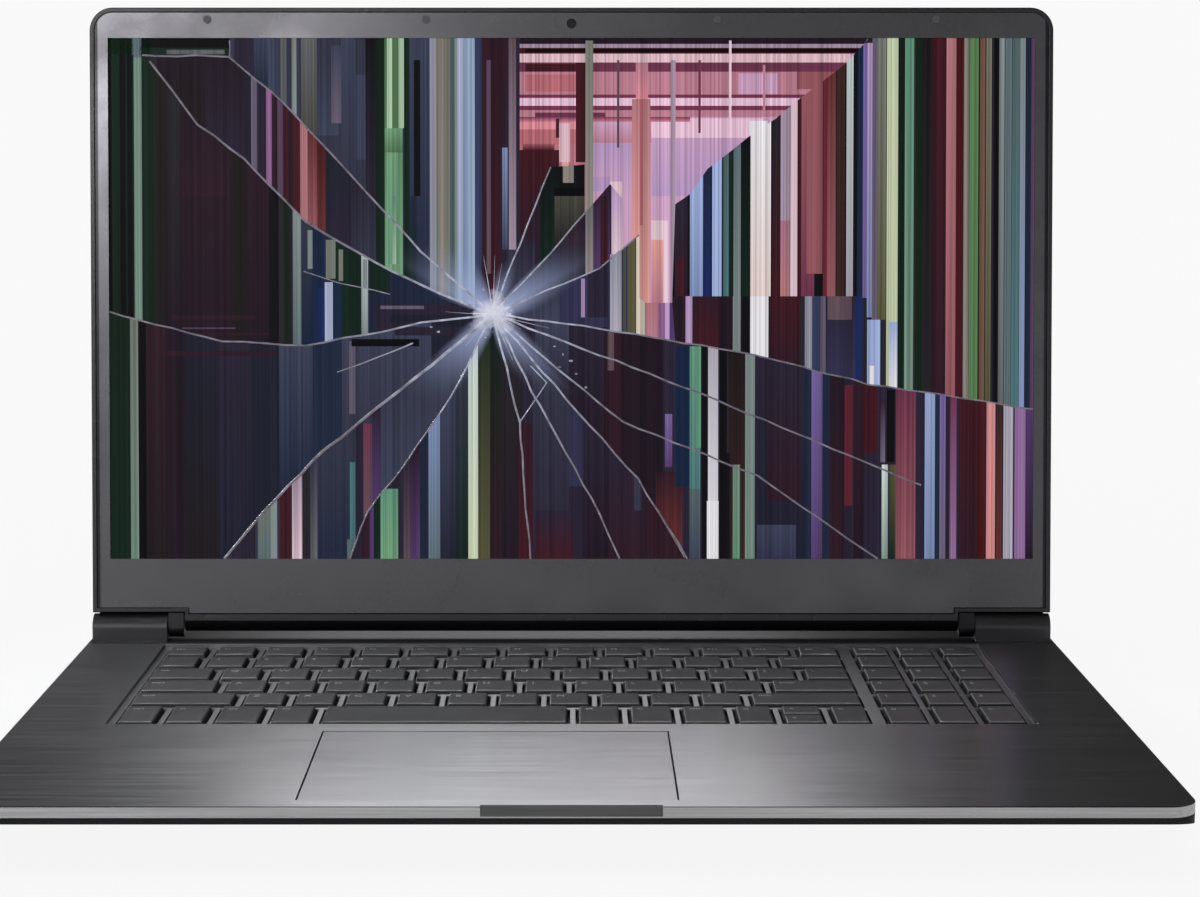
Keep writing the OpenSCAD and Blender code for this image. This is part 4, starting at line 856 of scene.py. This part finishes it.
chips = []
for _ in range(CHIPS):
    deselect()
    spread = abs(chance.gauss(0, 5.5))
    angle = chance.uniform(0, 2 * math.pi)
    u = IMPACT[0] + 2 + spread * math.cos(angle)
    w = IMPACT[1] - 1 + spread * math.sin(angle) * 0.8
    bpy.ops.mesh.primitive_cone_add(vertices=chance.choice((3, 4, 5)), radius1=chance.uniform(0.4, 1.5) * MM,
                                    radius2=0.2 * MM, depth=chance.uniform(0.3, 0.8) * MM,
                                    location=(u * MM, -0.1 * MM, w * MM),
                                    rotation=(math.pi / 2, chance.uniform(0, 3), 0))
    chips.append(settle(bpy.context.object))
for u, w in ((184, 88), (187.5, 84.6), (190.8, 82), (186, 79.4), (193, 76.6), (197, 71), (133, 96), (136, 94)):
    deselect()
    bpy.ops.mesh.primitive_uv_sphere_add(segments=8, ring_count=5, radius=0.6 * MM,
                                         location=(u * MM, 0, w * MM))
    bpy.context.object.scale = (chance.uniform(0.5, 1.6), 0.5, chance.uniform(0.4, 1.1))
    chips.append(settle(bpy.context.object))
glass_chips = join("glass_chips", chips)
glass_chips.data.transform(PICTURE)


# how far the pale glow reaches in each direction, in degrees and mm
GLOW_LENGTHS = (
    (-180, 5), (-165, 9), (-150, 22), (-139, 52), (-118, 44), (-104, 18), (-92, 7), (-80, 20), (-65, 34),
    (-45, 50), (-32, 22), (-20, 8), (0, 14), (14, 28), (30, 54), (46, 40), (54, 15), (68, 28), (84, 22),
    (95, 6), (108, 26), (128, 42), (150, 50), (160, 34), (168, 10), (180, 5))
LONGEST_GLOW = max(length for _, length in GLOW_LENGTHS)


def glow_from_impact(tree):
    """The glow at a place, each part 0 to 1: its ragged white heart, its pale wedges, and how near it is."""
    centre = PICTURE @ Vector((IMPACT[0] * MM, 0, IMPACT[1] * MM))
    offset = tree.nodes.new("ShaderNodeMapping")
    offset.inputs["Location"].default_value = -centre
    tree.links.new(object_place(tree), offset.inputs["Vector"])
    away = offset.outputs["Vector"]
    far = length_of(tree, away)
    turn = arithmetic(tree, "ARCTAN2", axis_of(tree, away, "Z"), axis_of(tree, away, "X"))
    wedges = tree.nodes.new("ShaderNodeValToRGB")
    stops = wedges.color_ramp.elements
    while len(stops) < len(GLOW_LENGTHS):
        stops.new(0.5)
    for stop, (angle, length) in zip(stops, GLOW_LENGTHS):
        stop.position = (angle + 180) / 360
        stop.color = (length / LONGEST_GLOW,) * 3 + (1,)
    tree.links.new(levels(tree, turn, -math.pi, math.pi, 0, 1), wedges.inputs["Fac"])
    reach = arithmetic(tree, "DIVIDE", far, wedges.outputs["Color"])
    ragged = arithmetic(tree, "MULTIPLY_ADD", pattern(tree, 0.005, detail=4), 14 * MM, far)
    heart = levels(tree, ragged, 8 * MM, 16 * MM, 0.85, 0)
    halo = levels(tree, reach, 0.1 * LONGEST_GLOW * MM, LONGEST_GLOW * MM, 0.95, 0)
    near = levels(tree, far, 12 * MM, 75 * MM, 1, 0)
    return heart, arithmetic(tree, "MULTIPLY", halo, halo), near


# the lit picture, on the pane itself
finish, tree, shader = new_finish("display_picture", (0.004, 0.004, 0.005), 0.3)
attribute = tree.nodes.new("ShaderNodeAttribute")
attribute.attribute_name = "picture"
columns = pattern(tree, 0.0007, stretch=(1, 500, 500), detail=2)
striped = levels(tree, columns, 0.3, 0.7, 0.55, 1.03)
lit = blend_colours(tree, 1.0, attribute.outputs["Color"], striped, "MULTIPLY")
heart, halo, _ = glow_from_impact(tree)
lit = blend_colours(tree, halo, lit, (0.36, 0.42, 0.66))
lit = blend_colours(tree, heart, lit, (0.7, 0.68, 0.8))
tree.links.new(lit, shader.inputs["Emission Color"])
shader.inputs["Emission Strength"].default_value = 1.0
shader.inputs["Specular IOR Level"].default_value = 0.03
paint(pane, finish)

finish, tree, shader = new_finish("broken_edge", (0.05, 0.05, 0.06), 0.35)
heart, _, near = glow_from_impact(tree)
uneven = levels(tree, pattern(tree, 0.004, detail=3), 0.3, 0.7, 0.35, 1.0)
caught = blend_colours(tree, near, (0.19, 0.17, 0.21), (0.48, 0.5, 0.64))
lit = blend_colours(tree, 1.0, caught, uneven, "MULTIPLY")
lit = blend_colours(tree, heart, lit, (0.72, 0.72, 0.82))
tree.links.new(lit, shader.inputs["Emission Color"])
shader.inputs["Emission Strength"].default_value = 1.0
paint(crack_lines, finish)
paint(glass_chips, finish)

for piece in (pane, crack_lines, glass_chips):
    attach(piece, "lid")
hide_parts("lcd_glass")


# ---------- keys ----------

KEY_SIDE = 0.9 * MM
KEY_EDGE = 0.5 * MM
KEY_DISH = 0.15 * MM


def cap(low, high):
    """One key cap: a block that narrows to the top, with soft edges and a shallow dished face."""
    piece = block("cap", low, high)
    pick_faces(piece, lambda face: face.normal.z > 0.9)
    wide, deep = high.x - low.x, high.y - low.y
    bpy.ops.transform.resize(value=((wide - 2 * KEY_SIDE) / wide, (deep - 2 * KEY_SIDE) / deep, 1))
    bpy.ops.mesh.inset(thickness=1.6 * KEY_EDGE)
    bpy.ops.mesh.inset(thickness=1.2 * KEY_EDGE)
    bpy.ops.transform.translate(value=(0, 0, -KEY_DISH))
    bpy.ops.mesh.inset(thickness=2.5 * KEY_EDGE)
    bpy.ops.transform.translate(value=(0, 0, -KEY_DISH / 2))
    object_mode()
    ease(piece, KEY_EDGE, segments=3, angle=40)
    return piece


def legend(words, left, back, top, size):
    """Plain printed characters on a cap, from its back left corner."""
    deselect()
    bpy.ops.object.text_add(location=(0, 0, 0))
    text = bpy.context.object
    text.data.body = words
    text.data.size = size
    text.data.resolution_u = 2
    text.data.extrude = 0.02 * MM
    text.data.align_y = "TOP"
    bpy.ops.object.convert(target="MESH")
    bpy.context.object.location = (left, back, top)
    return settle(bpy.context.object)


LEGENDS = {
    "keys_function": ["esc", *("F%d" % number for number in range(1, 13)), "del", "home", "end"],
    "key_power": ["on"],
    "keys_number": list("`1234567890-="),
    "key_backspace": ["back"],
    "key_tab": ["tab"],
    "keys_upper": list("QWERTYUIOP[]\\"),
    "key_caps": ["caps"],
    "keys_home": list("ASDFGHJKL;'"),
    "key_enter": ["enter"],
    "key_shift_left": ["shift"],
    "keys_lower": list("ZXCVBNM,./"),
    "key_shift_right": ["shift"],
    "keys_bottom": ["ctrl", "fn", "sys", "alt", "alt", "fn", "ctrl", "<", "v", "^", ">"],
    "key_space": [""],
    "keys_pad": ["0", ".", "+", "1", "2", "3", "4", "5", "6", "7", "8", "9", "/", "*", "-"],
}

LEGEND_IN = 3.0 * MM
LEGEND_DOWN = 2.9 * MM
LETTER_TALL = 4.2 * MM
WORD_TALL = 2.9 * MM


def painted_cap(low, high):
    """A cap in three materials: its face, its skirt in painted shade, and a painted highlight on the edges at
    its front and left.
    """
    piece = paint(cap(low, high), FINISHES["key_plastic"], FINISHES["key_skirt_shade"], FINISHES["key_edge_highlight"])
    for face in piece.data.polygons:
        # painted highlight on the front and left edges, painted shade on the sides
        rim = face.normal.z < 0.95 and (face.normal.y < -0.25 or face.normal.x < -0.25)
        skirt = face.normal.z < 0.35
        face.material_index = 1 if skirt else 2 if rim else 0
    return piece


cap_sizes = {}
for node, words in LEGENDS.items():
    caps, prints = [], []
    boxes = loose_boxes(node)
    if node == "keys_bottom":
        boxes.sort(key=lambda b: (round(b[0].x, 3), b[0].y))
    for (low, high), word in zip(boxes, words):
        size = tuple(round(v, 4) for v in high - low)
        if size not in cap_sizes:
            cap_sizes[size] = (painted_cap(low, high), low.copy())
        model, start = cap_sizes[size]
        caps.append(copy_of(model, "cap", low - start))
        if word:
            tall = LETTER_TALL if len(word) == 1 else WORD_TALL
            top = high.z - 1.4 * KEY_DISH
            mark = legend(word, low.x + LEGEND_IN, high.y - LEGEND_DOWN, top, tall)
            prints.append(paint(mark, FINISHES["key_print"]))
    keys = join(node + "_caps", caps + prints)
    smooth(keys, 30)
    even_normals(keys)
    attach(keys, node)
    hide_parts(node)
for model, _ in cap_sizes.values():
    discard(model)


# ---------- casing: the CAD shapes with their edges eased ----------

def eased(node, name, body, width, angle=40, segments=2):
    piece = merged_copy(node, name)
    ease(piece, width, segments, angle)
    smooth(piece, 40)
    even_normals(piece)
    paint(piece, FINISHES[slot_of_node[node]])
    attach(piece, body)
    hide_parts(node)
    return piece


BARREL_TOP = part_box("screen_bezel")[0].z + 1 * MM
deck = eased("top_deck", "deck", "base", 0.25 * MM)
eased("screen_bezel", "bezel", "lid", 0.35 * MM)
cover = eased("lid_cover", "lid_shell_outer", "lid", 0.4 * MM)

# a dark strip under each lower corner of the lid, over the hinge cover
SEAL_FRONT, SEAL_BACK = 3.2 * MM, 4.8 * MM
SEAL_FOOT, SEAL_TOP = 5.1 * MM, 6.6 * MM
hinge_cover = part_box("hinge_cover_right")
seal_ends = (hinge_cover[0].x + 0.5 * MM, hinge_cover[1].x - 1.5 * MM)
seals = []
for side in (-1, 1):
    left, right = sorted(side * end for end in seal_ends)
    seal = block("corner_seal", (left, SEAL_FRONT, SEAL_FOOT), (right, SEAL_BACK, SEAL_TOP))
    seal.data.transform(LID)
    ease(seal, 0.25 * MM)
    seals.append(paint(seal, FINISHES["lid_shell"]))
cover = join("lid_shell_outer", [cover, *seals])
# the lid shell's faces low down, below the bezel, get painted shade, near black
cover.data.materials.append(FINISHES["barrel_shade"])
for face in cover.data.polygons:
    if face.center.z < BARREL_TOP and face.normal.y < 0.9:
        face.material_index = 1

# the deck's front: a bright band along its edge, and the finger scoop in the middle with painted shade in its
# recess
BAND = 3.5 * MM
FRONT_DEEP = 9 * MM
SCOOP_HALF = 31 * MM
SCOOP_SETBACK = 0.4 * MM
deck.data.materials.append(FINISHES["deck_band"])
deck.data.materials.append(FINISHES["scoop_metal_shade"])
for face in deck.data.polygons:
    if face.center.y >= FRONT + FRONT_DEEP:
        continue
    middle = abs(face.center.x) < SCOOP_HALF
    upright = abs(face.normal.z) < 0.5 and face.center.z > DECK_TOP - BAND
    if upright and not (middle and face.center.y > FRONT + SCOOP_SETBACK):
        face.material_index = 1
    elif middle and face.normal.z < 0.95:
        face.material_index = 2

eased("touchpad", "touchpad_plate", "touchpad", 0.2 * MM)
eased("keyboard_frame", "key_web_plate", "base", 0.2 * MM)
for side in ("left", "right"):
    eased("hinge_cover_" + side, "hinge_cap_" + side, "base", 0.4 * MM)


# ---------- stage, light and camera ----------

FLOOR_WIDE = 16
FLOOR_DROP = 0.0002
PAPER = (0.95, 0.95, 0.95)
AMBIENT = 0.34
HORIZON = 0.62
CEILING = 0.05

bpy.ops.mesh.primitive_plane_add(size=FLOOR_WIDE, location=(0, 0, -FLOOR_DROP))
floor = bpy.context.object
floor.name = "floor"
finish, tree, shader = new_finish("floor_paper", PAPER, 0.9)
floor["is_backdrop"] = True
glow = tree.nodes.new("ShaderNodeEmission")
glow.inputs["Color"].default_value = (*PAPER, 1)
rays = tree.nodes.new("ShaderNodeLightPath")
mix = tree.nodes.new("ShaderNodeMixShader")
paler_far_off = levels(tree, length_of(tree, object_place(tree)), 0.3, 1.4, 0.95, 1.0)
seen = arithmetic(tree, "MULTIPLY", rays.outputs["Is Camera Ray"], paler_far_off)
tree.links.new(seen, mix.inputs["Fac"])
tree.links.new(shader.outputs["BSDF"], mix.inputs[1])
tree.links.new(glow.outputs["Emission"], mix.inputs[2])
tree.links.new(mix.outputs["Shader"], tree.nodes["Material Output"].inputs["Surface"])
paint(floor, finish)

world = bpy.data.worlds.new("studio")
bpy.context.scene.world = world
world.use_nodes = True
tree = world.node_tree
soft = tree.nodes["Background"]
soft.inputs["Color"].default_value = (1, 1, 1, 1)
soft.inputs["Strength"].default_value = AMBIENT
paper = tree.nodes.new("ShaderNodeBackground")
paper.inputs["Color"].default_value = (*PAPER, 1)
rays = tree.nodes.new("ShaderNodeLightPath")
mirror = tree.nodes.new("ShaderNodeBackground")
heading = tree.nodes.new("ShaderNodeTexCoord").outputs["Generated"]
rise = arithmetic(tree, "MULTIPLY_ADD", axis_of(tree, heading, "Y"), 0.17, axis_of(tree, heading, "Z"))
tree.links.new(levels(tree, rise, 0.04, 0.17, HORIZON, CEILING), mirror.inputs["Strength"])
reflected = tree.nodes.new("ShaderNodeMixShader")
tree.links.new(rays.outputs["Is Glossy Ray"], reflected.inputs["Fac"])
tree.links.new(soft.outputs[0], reflected.inputs[1])
tree.links.new(mirror.outputs[0], reflected.inputs[2])
seen = arithmetic(tree, "MAXIMUM", rays.outputs["Is Camera Ray"], rays.outputs["Is Transmission Ray"])
mix = tree.nodes.new("ShaderNodeMixShader")
tree.links.new(seen, mix.inputs["Fac"])
tree.links.new(reflected.outputs[0], mix.inputs[1])
tree.links.new(paper.outputs[0], mix.inputs[2])
tree.links.new(mix.outputs["Shader"], tree.nodes["World Output"].inputs["Surface"])


def lamp(name, place, target, width, height, power):
    light = bpy.data.lights.new(name, "AREA")
    light.shape = "RECTANGLE"
    light.size = width
    light.size_y = height
    light.energy = power
    holder = new_object(name, light)
    holder.location = place
    holder.rotation_euler = (Vector(target) - Vector(place)).to_track_quat("-Z", "Y").to_euler()
    return holder


lamp("overhead", (-0.045, 0.6, 1.25), (-0.035, -0.06, 0), 0.5, 0.9, 8.5)
left_fill = lamp("left_fill", (-1.2, -0.1, 0.8), (-0.06, 0.06, 0), 0.15, 0.15, 0.25)
left_fill.data.spread = math.radians(18)
lamp("front_left", (-0.86, -2.1, 0.84), (-0.1, 0.12, 0.2), 1.0, 0.45, 9)

camera_data = bpy.data.cameras.new("camera")
camera_data.lens = 76.4
camera_data.shift_x = 0.02375
camera = new_object("camera", camera_data)
camera.location = (0, FRONT - 0.785, DECK_TOP + 0.221)
camera.rotation_euler = (math.radians(82.3), 0, 0)
bpy.context.scene.camera = camera

view = bpy.context.scene.view_settings
view.view_transform = "Standard"

low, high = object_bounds()
